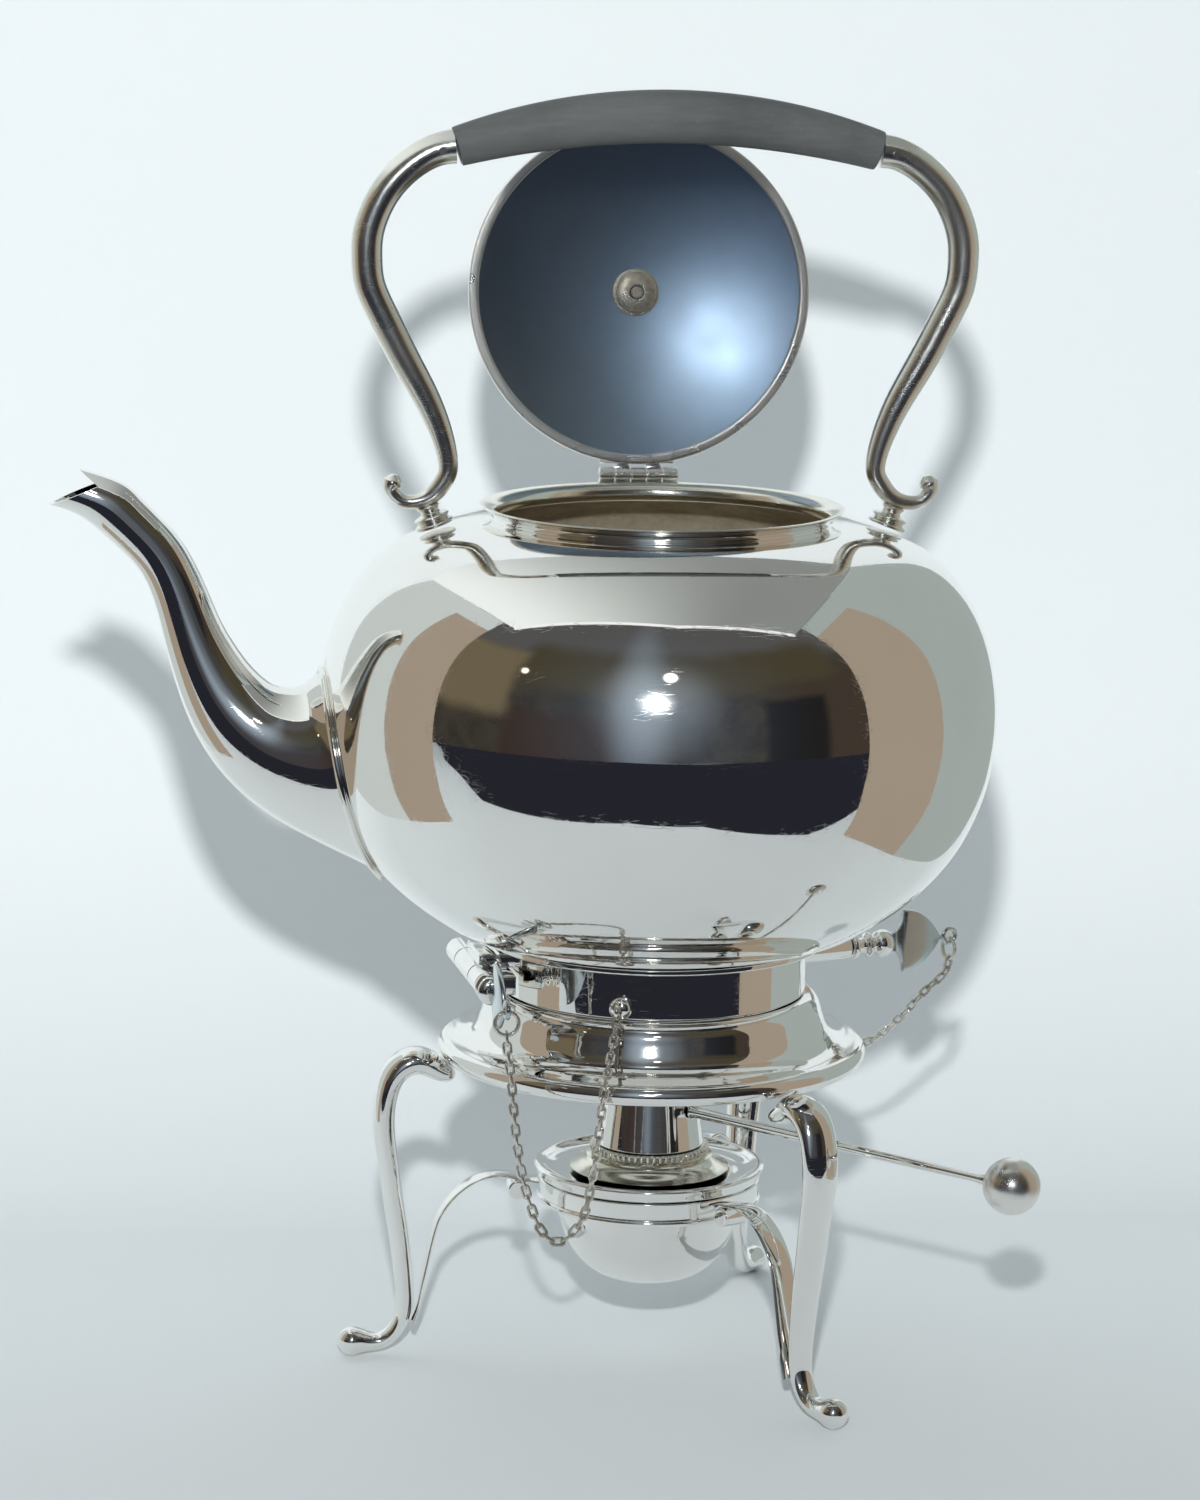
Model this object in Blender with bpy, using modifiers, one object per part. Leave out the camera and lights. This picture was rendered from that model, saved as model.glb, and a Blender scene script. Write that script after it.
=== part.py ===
"""A spirit kettle tilting on its stand, with the burner, the pins and their chains.

Metres, +Z up. The stand's toes rest on the floor at z = 0, the spout points to -X and
the lid opens towards +Y. The origin is at the floor, under the middle of the object.
"""

import math

import bmesh
import bpy
from mathutils import Matrix, Vector

# Clearances
GAP = 0.0003
RUNNING_GAP = 0.00035
OVERRUN = 0.004
BURIED = 0.0006
DOUBLE_GAP = 0.0006
WELD_DISTANCE = 0.000001

# How finely round shapes are divided
LARGE_STEPS = 32
MIDDLE_STEPS = 20
SMALL_STEPS = 12
TINY_STEPS = 8
TUBE_SIDES = 10

# Stand: gallery ring and flange
FLANGE_RADIUS = 0.0573
FLANGE_DEPTH = 0.0189
FLANGE_EDGE_RADIUS = 0.0027
FLANGE_WALL = 0.00155
RING_RADIUS = 0.0409
RING_WALL = 0.0019
RING_HEIGHT = 0.0128

# Legs and the straps that carry the burner holder
LEG_AZIMUTHS = (180.0, 300.0, 60.0)
LEG_SPREAD = 0.0146
LEG_HEIGHT = 0.0862
LEG_HALF_WIDTH = 0.0054
TOE_RADIUS = 0.0040
STRAP_HALF_WIDTH = 0.0037
STRAP_HALF_THICKNESS = 0.0007
STRAP_ROLL_RADIUS = 0.0026
HOLDER_RADIUS = 0.0297
HOLDER_WALL = 0.0014
HOLDER_HEIGHT = 0.0062

# Tilting hinge, on the spout's side
HINGE_AZIMUTH = 185.2
HINGE_REACH = 0.0490
HINGE_LIFT = 0.0061
HINGE_BARREL_RADIUS = 0.0033
HINGE_FAR_END = -0.0218
HINGE_NEAR_END = 0.0199
HINGE_MIDDLE_HALF = 0.0094
KNUCKLE_WEB_HEIGHT = 0.0052
NOTCH_HALF_WIDTH = 0.0138
NOTCH_DEPTH = 0.0042
LUG_HALF_WIDTH = 0.0130
LUG_INNER_REACH = 0.0384
LUG_PLATE_REACH = 0.0446
LUG_WEB_DROP = 0.0010

# Removable pins with their wings and link rings
PIN_RADIUS = 0.0020
BEAD_RADIUS = 0.0036
BEAD_LENGTH = 0.0026
BULB_RADIUS = 0.0038
BULB_LENGTH = 0.0112
WING_LENGTH = 0.0190
WING_SPREAD = 0.0087
WING_THICKNESS = 0.0015
EYE_RADIUS = 0.0020
EYE_WIRE = 0.00068
LINK_RING_RADIUS = 0.0031
LINK_RING_WIRE = 0.00055
HINGE_PIN_TIP = -0.0224
HINGE_EYE_INSET = 0.0060
LOCK_AZIMUTH = 21.7
LOCK_LIFT = 0.0044
LOCK_SOCKET_RADIUS = 0.0031
LOCK_SOCKET_END = 0.0610
LOCK_PIN_TIP_INSET = 0.0006
LOCK_LUG_WALL = 0.0018
LOCK_LUG_HALF_WIDTH = 0.0050
LOCK_LUG_DROP = 0.0040

# Chain eyelets on the gallery ring
EYELET_AZIMUTHS = (250.8, 48.5)
EYELET_LIFT = 0.0031
EYELET_BOSS_RADIUS = 0.0030
EYELET_BOSS_HEIGHT = 0.0026
EYELET_LOOP_RADIUS = 0.0019
EYELET_LOOP_WIRE = 0.0006

# Chains: the routes are chosen by hand, about the kettle's axis and from the ring's bottom up
CHAIN_RADIUS = 0.0012
CHAIN_STEP = 0.0030
HINGE_CHAIN_ROUTE = (
    (-0.0445, -0.0513, -0.0014),
    (-0.0443, -0.0514, -0.0042),
    (-0.0432, -0.0516, -0.0124),
    (-0.0420, -0.0520, -0.0255),
    (-0.0404, -0.0525, -0.0361),
    (-0.0388, -0.0530, -0.0426),
    (-0.0362, -0.0535, -0.0497),
    (-0.0340, -0.0540, -0.0532),
    (-0.0315, -0.0545, -0.0547),
    (-0.0282, -0.0550, -0.0535),
    (-0.0250, -0.0555, -0.0492),
    (-0.0233, -0.0560, -0.0434),
    (-0.0213, -0.0567, -0.0299),
    (-0.0202, -0.0572, -0.0177),
    (-0.0194, -0.0568, -0.0124),
    (-0.0178, -0.0515, -0.0082),
    (-0.0159, -0.0455, -0.0028),
    (-0.0152, -0.0436, 0.0007),
)
LOCK_CHAIN_ROUTE = (
    (0.0875, 0.0348, -0.0031),
    (0.0872, 0.0349, -0.0051),
    (0.0856, 0.0351, -0.0075),
    (0.0829, 0.0355, -0.0099),
    (0.0798, 0.0360, -0.0134),
    (0.0762, 0.0370, -0.0179),
    (0.0717, 0.0380, -0.0227),
    (0.0663, 0.0390, -0.0266),
    (0.0600, 0.0410, -0.0283),
    (0.0545, 0.0430, -0.0267),
    (0.0495, 0.0440, -0.0217),
    (0.0450, 0.0440, -0.0155),
    (0.0405, 0.0415, -0.0092),
    (0.0355, 0.0384, -0.0061),
    (0.0319, 0.0361, -0.0028),
    (0.0306, 0.0346, 0.0007),
)

# Kettle body and its collars
BODY_RADIUS = 0.0896
BODY_HEIGHT = 0.1114
BODY_WALL = 0.0012
MOUTH_MARGIN = 0.0004
BODY_FOOT_INSET = 0.0020
BASE_RING_OUTER = 0.0460
BASE_RING_INNER = 0.0404
BASE_RING_HEIGHT = 0.0015
LIP_RADIUS = 0.0477
NECK_FOOT_RADIUS = 0.0496
NECK_HEIGHT = 0.0027
NECK_SKIRT_DEPTH = 0.0012
NECK_BORE = 0.0438
NECK_WALL = 0.0010
NECK_LIP_ROUND = 0.0003
NECK_FOOT_SHARE = 0.16
POUR_HOLE_RADIUS = 0.0140

# Spout
SPOUT_LENGTH = 0.0705
SPOUT_ROOT_HALF_WIDTH = 0.0250
SPOUT_WALL = 0.0009
SPOUT_BAND_WALL = 0.0009
SPOUT_BAND_WIDTH = 0.0023

# Handle: two silver arms and a dark grip
FOOT_RADIUS = 0.0050
FOOT_HEIGHT = 0.0056
FOOT_TILT = 20.0
FOOT_SEAT = 0.0005
ARM_SPREAD = 0.0184
ARM_RISE = 0.0922
ARM_RADIUS = 0.0045
ARM_SEAT = 0.0011
GRIP_END_GAP = 0.0005
GRIP_SAG = 0.0083
GRIP_RADIUS = 0.00695
GRIP_PIN_RADIUS = 0.0010
GRIP_PIN_DROP = 0.0008

# Lid, in its closed place before it is swung open
LID_RADIUS = 0.0467
LID_RISE = 0.0072
LID_WALL = 0.0010
BEZEL_WIDTH = 0.0027
BEZEL_HEIGHT = 0.0022
LID_OPEN_ANGLE = 95.5
LID_HINGE_REACH = 0.0496
LID_HINGE_LIFT = 0.0013
LID_BARREL_RADIUS = 0.00205
LID_BARREL_LENGTH = 0.0215
LID_KNUCKLES = 5
KNUCKLE_INSET = 0.0001
LID_PIN_RADIUS = 0.0009
LID_LEAF_WALL = 0.0010
LID_LEAF_LENGTH = 0.0080
STUD_RADIUS = 0.0016
STUD_TIP = 0.0010
WASHER_RADIUS = 0.0065
WASHER_WALL = 0.0008
NUT_RADIUS = 0.0056
NUT_HEIGHT = 0.0021
FINIAL_BASE_RADIUS = 0.0085
FINIAL_BASE_HEIGHT = 0.0035
FINIAL_KNOB_RADIUS = 0.0095
FINIAL_KNOB_HEIGHT = 0.0170

# Burner
BOWL_RADIUS = 0.0246
BOWL_DEPTH = 0.0284
BOWL_WALL = 0.0010
DISH_RADIUS = 0.0309
DISH_HEIGHT = 0.0036
COLLAR_RADIUS = 0.0160
COLLAR_HEIGHT = 0.0052
SLEEVE_BOTTOM_RADIUS = 0.0145
SLEEVE_TOP_RADIUS = 0.0115
SLEEVE_HEIGHT = 0.0217
SLEEVE_WALL = 0.0010
WICK_TUBE_RADIUS = 0.0065
WICK_TUBE_WALL = 0.0008
WICK_STANDOUT = 0.0015
ROD_AZIMUTH = 317.4
ROD_LIFT = 0.0104
ROD_DROP = 0.0027
ROD_REACH = 0.1130
ROD_ROOT_RADIUS = 0.0016
ROD_TIP_RADIUS = 0.0011
ROD_START_CLEARANCE = 0.00054
BALL_RADIUS = 0.0074

# Places that follow from other sizes, as shares of them
LEG_SEAT_SHARE = 0.9571
TOE_SHARE = 1.11
STRAP_FOOT_REACH_SHARE = 0.8846
STRAP_FOOT_HEIGHT_SHARE = 0.1067
HOLDER_SHARE = 0.4965
# Where the strap's roll hangs below it, along and up its way from the leg to the holder
STRAP_ROLL_SHARE = (0.828, 1.018)
FOOT_REACH_SHARE = 0.25
GRIP_PIN_SHARE = 0.756

# Reaches and heights that follow from the sizes above
LEG_REACH = FLANGE_RADIUS + LEG_SPREAD
TOE_REACH = LEG_REACH * TOE_SHARE
STRAP_FOOT_REACH = LEG_REACH * STRAP_FOOT_REACH_SHARE
STRAP_FOOT_HEIGHT = LEG_HEIGHT * STRAP_FOOT_HEIGHT_SHARE
MOUTH_RADIUS = NECK_FOOT_RADIUS + MOUTH_MARGIN
BODY_FOOT_RADIUS = BASE_RING_OUTER - BODY_FOOT_INSET
FOOT_REACH = MOUTH_RADIUS + (BODY_RADIUS - MOUTH_RADIUS) * FOOT_REACH_SHARE
ARM_REACH = FOOT_REACH + ARM_SPREAD
GRIP_PIN_REACH = ARM_REACH * GRIP_PIN_SHARE
FLANGE_FLOOR_HEIGHT = LEG_HEIGHT * LEG_SEAT_SHARE
FLANGE_TOP = FLANGE_FLOOR_HEIGHT + FLANGE_DEPTH
RING_BOTTOM = FLANGE_TOP + GAP
RING_TOP = RING_BOTTOM + RING_HEIGHT
RING_BORE = RING_RADIUS - RING_WALL
HINGE_HEIGHT = RING_BOTTOM + HINGE_LIFT
LOCK_HEIGHT = RING_BOTTOM + LOCK_LIFT
EYELET_HEIGHT = RING_BOTTOM + EYELET_LIFT
BASE_RING_BOTTOM = RING_TOP + GAP
BODY_BOTTOM = BASE_RING_BOTTOM + BASE_RING_HEIGHT + GAP
BODY_TOP = BODY_BOTTOM + BODY_HEIGHT
NECK_BOTTOM = BODY_TOP + GAP
LIP_TOP = NECK_BOTTOM + NECK_HEIGHT
LID_BOTTOM = LIP_TOP + GAP
LID_HINGE_HEIGHT = LID_BOTTOM + LID_HINGE_LIFT
BEZEL_TOP = LID_BOTTOM + BEZEL_HEIGHT
LID_TOP = BEZEL_TOP + GAP + LID_WALL + LID_RISE
HOLDER_BOTTOM = LEG_HEIGHT * HOLDER_SHARE
HOLDER_TOP = HOLDER_BOTTOM + HOLDER_HEIGHT
BOWL_TOP = HOLDER_TOP
DISH_BOTTOM = HOLDER_TOP + GAP
SLEEVE_BOTTOM = DISH_BOTTOM + COLLAR_HEIGHT + DISH_HEIGHT + GAP
SLEEVE_TOP = SLEEVE_BOTTOM + SLEEVE_HEIGHT
ROD_HEIGHT = SLEEVE_BOTTOM + ROD_LIFT
PIN_BORE = PIN_RADIUS + RUNNING_GAP

# Outlines as shares of the sizes they follow, read from top to bottom. The body swells from
# its mouth to its widest radius, and draws in again to its foot
BODY_UPPER_SHARES = (
    (0.000, 1.000),
    (0.144, 0.990),
    (0.396, 0.953),
    (0.601, 0.899),
    (0.758, 0.837),
    (0.874, 0.765),
    (0.957, 0.675),
    (0.995, 0.585),
    (1.000, 0.540),
)
BODY_LOWER_SHARES = (
    (0.998, 0.496),
    (0.969, 0.406),
    (0.901, 0.316),
    (0.792, 0.226),
    (0.610, 0.136),
    (0.397, 0.065),
    (0.200, 0.018),
    (0.000, 0.000),
)
# How far the flange's underside lies inside and below its top, as shares of its wall
FLANGE_UNDERSIDE_SHARES = (0.9, 0.6)
# Between the ring's radius and the flange's edge, and over the flange's depth
FLANGE_TOP_SHARES = (
    (0.01, 1.00),
    (0.16, 0.94),
    (0.26, 0.77),
    (0.31, 0.56),
    (0.38, 0.39),
    (0.55, 0.33),
    (0.70, 0.30),
)
# The leg's centre line in its own upright plane, its half thickness and its half width
LEG_SHARES = (
    (0.735, 0.900, 0.06, 0.10),
    (0.742, 0.901, 0.24, 0.42),
    (0.760, 0.904, 0.42, 0.68),
    (0.800, 0.918, 0.56, 0.84),
    (0.860, 0.945, 0.68, 0.95),
    (0.925, 0.934, 0.68, 1.00),
    (0.975, 0.885, 0.62, 1.00),
    (0.998, 0.800, 0.57, 1.00),
    (0.998, 0.717, 0.55, 0.98),
    (0.982, 0.628, 0.51, 0.93),
    (0.960, 0.494, 0.50, 0.85),
    (0.942, 0.403, 0.49, 0.80),
    (0.928, 0.303, 0.46, 0.73),
    (0.918, 0.204, 0.43, 0.67),
    (0.923, 0.131, 0.42, 0.63),
    (0.955, 0.075, 0.40, 0.60),
    (1.005, 0.045, 0.42, 0.58),
    (1.055, 0.040, 0.52, 0.60),
    (1.085, 0.041, 0.66, 0.68),
    (1.110, 0.041, 0.74, 0.74),
    (1.135, 0.041, 0.66, 0.66),
    (1.155, 0.041, 0.42, 0.42),
    (1.165, 0.041, 0.12, 0.12),
)
# The strap's centre line, from its foot (0, 0) on the leg to the burner holder (1, 1)
STRAP_SHARES = (
    (0.000, 0.000),
    (0.043, 0.115),
    (0.068, 0.240),
    (0.111, 0.430),
    (0.169, 0.665),
    (0.233, 0.800),
    (0.336, 0.915),
    (0.485, 1.010),
    (0.632, 1.045),
    (0.767, 1.040),
    (0.869, 1.020),
    (0.990, 1.000),
)
# The spout's sections: underside and top in the upright plane, and half width. Each reach
# counts to 1 at the body's side and to 2 one spout's length beyond, and each height is a
# share of the body's
SPOUT_SHARES = (
    ((0.670, 0.081), (0.858, 0.652), 1.10),
    ((0.784, 0.132), (0.988, 0.634), 1.00),
    ((0.870, 0.172), (1.060, 0.598), 0.86),
    ((1.058, 0.242), (1.137, 0.594), 0.70),
    ((1.278, 0.335), (1.192, 0.609), 0.57),
    ((1.444, 0.464), (1.257, 0.646), 0.46),
    ((1.539, 0.613), (1.321, 0.702), 0.375),
    ((1.594, 0.743), (1.375, 0.764), 0.32),
    ((1.628, 0.816), (1.432, 0.847), 0.29),
    ((1.668, 0.870), (1.496, 0.926), 0.27),
    ((1.734, 0.917), (1.571, 0.986), 0.26),
    ((1.816, 0.965), (1.657, 1.040), 0.25),
    ((1.905, 1.006), (1.734, 1.081), 0.24),
    ((2.027, 1.031), (1.900, 1.114), 0.19),
)
# The beak is cut off along these three points
BEAK_CORNER_SHARE = (1.821, 1.0745)
BEAK_UPPER_SHARE = (2.112, 1.232)
BEAK_LOWER_SHARE = (2.193, 0.978)
# The arm's centre line: share of its reach, share of its rise from the foot, and thickness
ARM_SHARES = (
    (0.713, 1.000, 1.00),
    (0.782, 0.987, 0.93),
    (0.866, 0.942, 0.91),
    (0.944, 0.868, 0.91),
    (0.992, 0.773, 0.91),
    (1.000, 0.698, 0.91),
    (0.990, 0.615, 0.90),
    (0.945, 0.528, 0.90),
    (0.875, 0.410, 0.88),
    (0.801, 0.298, 0.80),
    (0.748, 0.195, 0.68),
    (0.722, 0.105, 0.58),
    (0.736, 0.061, 0.56),
    (0.763, 0.028, 0.54),
    (0.800, 0.006, 0.48),
    (0.848, -0.002, 0.42),
    (0.888, 0.008, 0.40),
    (0.911, 0.034, 0.44),
    (0.909, 0.050, 0.56),
    (0.904, 0.062, 0.50),
    (0.900, 0.076, 0.22),
)
GRIP_THICKNESS_SHARES = (0.73, 0.86, 0.94, 0.98, 1.0, 0.98, 0.94, 0.86, 0.73)
FOOT_SHARES = (
    (0.52, 1.00),
    (0.62, 0.92),
    (0.50, 0.78),
    (0.56, 0.62),
    (0.86, 0.50),
    (0.92, 0.38),
    (0.80, 0.26),
    (1.00, 0.12),
    (1.00, 0.00),
)
LID_SHARES = (0.3, 0.55, 0.75, 0.9, 0.995)
NECK_SHARES = ((1.00, 0.96), (0.985, 0.70), (0.950, 0.48), (0.950, 0.36), (0.985, 0.26))
FINIAL_BASE_SHARES = ((0.45, 1.00), (0.60, 0.85), (0.50, 0.60), (0.80, 0.30), (1.00, 0.0))
FINIAL_KNOB_SHARES = (
    (0.18, 1.00),
    (0.62, 0.94),
    (0.93, 0.76),
    (1.00, 0.56),
    (0.84, 0.34),
    (0.55, 0.16),
    (0.42, 0.00),
)
BOWL_SHARES = (
    (1.00, 1.000),
    (1.00, 0.800),
    (0.985, 0.640),
    (0.93, 0.460),
    (0.83, 0.290),
    (0.68, 0.140),
    (0.46, 0.040),
    (0.20, 0.000),
)
# The collar: its milled edge, a plain ring under it and the slope down to the dish
COLLAR_SHARES = (
    (0.90, 1.00),
    (1.00, 0.92),
    (1.00, 0.70),
    (0.95, 0.64),
    (1.06, 0.58),
    (1.06, 0.48),
    (1.16, 0.24),
    (1.34, 0.06),
    (1.34, 0.00),
)
# The dish's floor, as a share of its height, and its outline out to the rolled rim and back
DISH_FLOOR_SHARE = 0.62
DISH_SHARES = (
    (0.54, DISH_FLOOR_SHARE),
    (0.60, 0.50),
    (0.70, 0.42),
    (0.82, 0.50),
    (0.90, 0.74),
    (0.94, 0.96),
    (0.975, 1.00),
    (1.00, 0.86),
    (0.99, 0.66),
    (0.985, 0.50),
    (0.975, 0.20),
    (0.965, 0.03),
    (0.54, 0.00),
)
BEAD_SHARES = ((0.55, 0.00), (0.88, 0.15), (1.00, 0.50), (0.88, 0.85), (0.55, 1.00))
# Along the pin's head, from the bead to the wing
BULB_SHARES = (
    (0.56, 0.00),
    (0.56, 0.20),
    (0.86, 0.26),
    (0.92, 0.33),
    (0.62, 0.40),
    (0.62, 0.48),
    (0.86, 0.56),
    (1.00, 0.70),
    (0.90, 0.88),
    (0.56, 1.00),
)
# One side of the wing's outline, from the bulb to the eye
WING_SHARES = (
    (0.00, 0.30),
    (0.12, 0.50),
    (0.18, 0.70),
    (0.20, 1.00),
    (0.38, 0.98),
    (0.56, 0.83),
    (0.71, 0.60),
    (0.83, 0.34),
    (0.92, 0.10),
)

SILVER = ((0.88, 0.87, 0.84, 1.0), 0.08, 1.0)
WORN_SILVER = ((0.55, 0.52, 0.46, 1.0), 0.32, 1.0)
BLACK_GRIP = ((0.035, 0.037, 0.038, 1.0), 0.42, 0.0)
COTTON = ((0.62, 0.57, 0.48, 1.0), 0.9, 0.0)

UP = Vector((0, 0, 1))


def empty_scene():
    for old in list(bpy.data.objects):
        bpy.data.objects.remove(old)


def new_collection(name, shown):
    collection = bpy.data.collections.new(name)
    collection.hide_render = not shown
    bpy.context.scene.collection.children.link(collection)
    return collection


empty_scene()
PARTS = new_collection("spirit_kettle_on_stand", True)
CUTTERS = new_collection("cutters", False)


def radial(azimuth, reach, height=0.0):
    """The point at this reach from the kettle's axis, in this direction."""
    angle = math.radians(azimuth)
    return Vector((reach * math.cos(angle), reach * math.sin(angle), height))


def between(start, end, share):
    return start + (end - start) * share


def keep_place(obj, parent):
    """Parents an object so that it stays where it is."""
    bpy.context.view_layer.update()
    obj.parent = parent
    obj.matrix_parent_inverse = parent.matrix_world.inverted()


def new_empty(name, location, parent=None):
    empty = bpy.data.objects.new(name, None)
    empty.location = location
    PARTS.objects.link(empty)
    if parent:
        keep_place(empty, parent)
    return empty


ROOT = new_empty("stand_root", (0, 0, 0))


def cut_ready(obj, parent=None):
    """Makes an object a helper that only cuts, trims or adds to others."""
    CUTTERS.objects.link(obj)
    obj.hide_render = True
    obj.display_type = "WIRE"
    keep_place(obj, parent or ROOT)
    return obj


def finished(obj, finish, parent):
    """Gives a piece its own material and its place in the tree."""
    colour, roughness, metallic = finish
    material = bpy.data.materials.new(obj.name + "_finish")
    material.use_nodes = True
    shader = material.node_tree.nodes["Principled BSDF"]
    shader.inputs["Base Color"].default_value = colour
    shader.inputs["Roughness"].default_value = roughness
    shader.inputs["Metallic"].default_value = metallic
    obj.data.materials.clear()
    obj.data.materials.append(material)
    PARTS.objects.link(obj)
    keep_place(obj, parent)
    return obj


def boolean(obj, operation, other):
    modifier = obj.modifiers.new(operation.lower(), "BOOLEAN")
    modifier.operation = operation
    modifier.object = other
    return obj


def cut(obj, *cutters):
    for cutter in cutters:
        boolean(obj, "DIFFERENCE", cutter)
    return obj


def joined(obj, *others, parent=None):
    for other in others:
        boolean(obj, "UNION", cut_ready(other, parent))
    return obj


def facing(direction):
    return Vector(direction).to_track_quat("Z", "Y").to_matrix().to_4x4()


def loop_area(points):
    return sum(a[0] * b[1] - b[0] * a[1] for a, b in zip(points, points[1:] + points[:1]))


def screwed(name, points, edges, steps, location, axis):
    mesh = bpy.data.meshes.new(name)
    mesh.from_pydata([(radius, 0, height) for radius, height in points], edges, [])
    obj = bpy.data.objects.new(name, mesh)
    obj.matrix_world = Matrix.Translation(location) @ facing(axis)
    screw = obj.modifiers.new("turn", "SCREW")
    screw.steps = steps
    screw.render_steps = steps
    screw.use_merge_vertices = True
    screw.merge_threshold = WELD_DISTANCE
    screw.use_smooth_shade = True
    return obj


def turned_solid(name, outline, steps, location=(0, 0, 0), axis=UP):
    """A solid turned from its outer side, closed to the axis at both ends."""
    points = [(0.0, outline[0][1])] + list(outline) + [(0.0, outline[-1][1])]
    if loop_area(points) > 0:
        points.reverse()
    edges = [(i, i + 1) for i in range(len(points) - 1)]
    return screwed(name, points, edges, steps, location, axis)


def turned_ring(name, outline, steps, location=(0, 0, 0), axis=UP):
    """A ring turned from a closed outline that stays off the axis."""
    points = list(outline)
    if loop_area(points) > 0:
        points.reverse()
    edges = [(i, (i + 1) % len(points)) for i in range(len(points))]
    return screwed(name, points, edges, steps, location, axis)


def turned_shell(name, outline, wall, steps, location=(0, 0, 0), axis=UP):
    """A thin wall turned from an open outline, which is its outer side."""
    edges = [(i, i + 1) for i in range(len(outline) - 1)]
    obj = screwed(name, outline, edges, steps, location, axis)
    return walled(obj, wall)


def walled(obj, wall):
    solidify = obj.modifiers.new("wall", "SOLIDIFY")
    solidify.thickness = wall
    solidify.offset = -1
    solidify.use_even_offset = True
    return obj


def cylinder(name, radius, start, end, steps, end_radius=None):
    """A cylinder, or a cone, between two points."""
    start, end = Vector(start), Vector(end)
    length = (end - start).length
    tip = radius if end_radius is None else end_radius
    return turned_solid(name, [(tip, length), (radius, 0.0)], steps, start, end - start)


def sleeve(name, radius, bore, start, end, steps):
    start, end = Vector(start), Vector(end)
    length = (end - start).length
    outline = [(radius, length), (radius, 0.0), (bore, 0.0), (bore, length)]
    return turned_ring(name, outline, steps, start, end - start)


def wire_ring(name, radius, wire, steps, location, axis):
    sides = [2 * math.pi * i / TINY_STEPS for i in range(TINY_STEPS)]
    outline = [(radius + wire * math.cos(a), wire * math.sin(a)) for a in sides]
    return turned_ring(name, outline, steps, location, axis)


def ball(name, radius, location, steps=SMALL_STEPS):
    turns = [math.pi * i / (steps // 2) for i in range(1, steps // 2)]
    outline = [(radius * math.sin(a), radius * math.cos(a)) for a in turns]
    points = [(0.0, radius)] + outline + [(0.0, -radius)]
    edges = [(i, i + 1) for i in range(len(points) - 1)]
    return screwed(name, points, edges, steps, location, UP)


def box(name, low, high, frame=None):
    """A box between two corners, given in the axes of a frame."""
    mesh = bpy.data.meshes.new(name)
    shape = bmesh.new()
    bmesh.ops.create_cube(shape, size=1.0)
    low, high = Vector(low), Vector(high)
    for vertex in shape.verts:
        share = vertex.co + Vector((0.5, 0.5, 0.5))
        vertex.co = Vector([between(low[i], high[i], share[i]) for i in range(3)])
    shape.to_mesh(mesh)
    shape.free()
    obj = bpy.data.objects.new(name, mesh)
    obj.matrix_world = frame or Matrix()
    return obj


def azimuth_frame(azimuth):
    """X points away from the kettle's axis, Y along the tangent and Z up."""
    return Matrix.Rotation(math.radians(azimuth), 4, "Z")


def meshed(curve_object):
    """Turns a curve into a closed mesh that can be cut."""
    PARTS.objects.link(curve_object)
    bpy.context.view_layer.update()
    graph = bpy.context.evaluated_depsgraph_get()
    mesh = bpy.data.meshes.new_from_object(curve_object.evaluated_get(graph))
    shape = bmesh.new()
    shape.from_mesh(mesh)
    bmesh.ops.remove_doubles(shape, verts=shape.verts, dist=WELD_DISTANCE)
    bmesh.ops.recalc_face_normals(shape, faces=shape.faces)
    shape.to_mesh(mesh)
    shape.free()
    name = curve_object.name
    obj = bpy.data.objects.new(name + "_mesh", mesh)
    obj.matrix_world = curve_object.matrix_world
    bpy.data.objects.remove(curve_object)
    obj.name = name
    return obj


def tube(name, points, radius, shares=None, resolution=2):
    """A round bar along a smooth path, thicker and thinner by the shares given."""
    curve = bpy.data.curves.new(name, "CURVE")
    curve.dimensions = "3D"
    curve.bevel_depth = radius
    curve.bevel_resolution = resolution
    curve.use_fill_caps = True
    spline = curve.splines.new("POLY")
    spline.points.add(len(points) - 1)
    for i, point in enumerate(points):
        spline.points[i].co = (*point, 1)
        spline.points[i].radius = shares[i] if shares else 1.0
    return bpy.data.objects.new(name, curve)


def smooth_route(points, step):
    """Points at even steps along a smooth curve through the route's own points."""
    points = [Vector(p) for p in points]
    padded = [2 * points[0] - points[1]] + points + [2 * points[-1] - points[-2]]
    fine = []
    for a, b, c, d in zip(padded, padded[1:], padded[2:], padded[3:]):
        for i in range(TINY_STEPS):
            t = i / TINY_STEPS
            bend = 2 * a - 5 * b + 4 * c - d
            twist = 3 * b - a - 3 * c + d
            fine.append(b + (t * (c - a) + t**2 * bend + t**3 * twist) / 2)
    fine.append(points[-1])
    length = sum((b - a).length for a, b in zip(fine, fine[1:]))
    count = max(2, round(length / step))
    route, travelled, target = [fine[0]], 0.0, length / count
    for a, b in zip(fine, fine[1:]):
        piece = (b - a).length
        while len(route) < count and travelled + piece >= target * len(route):
            route.append(a.lerp(b, (target * len(route) - travelled) / piece))
        travelled += piece
    route.append(fine[-1])
    return route


def rounded_section(centre, across, side, sides):
    """Points round an oval, given its two half axes."""
    turns = [2 * math.pi * i / sides for i in range(sides)]
    return [centre + across * math.cos(a) + side * math.sin(a) for a in turns]


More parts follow.
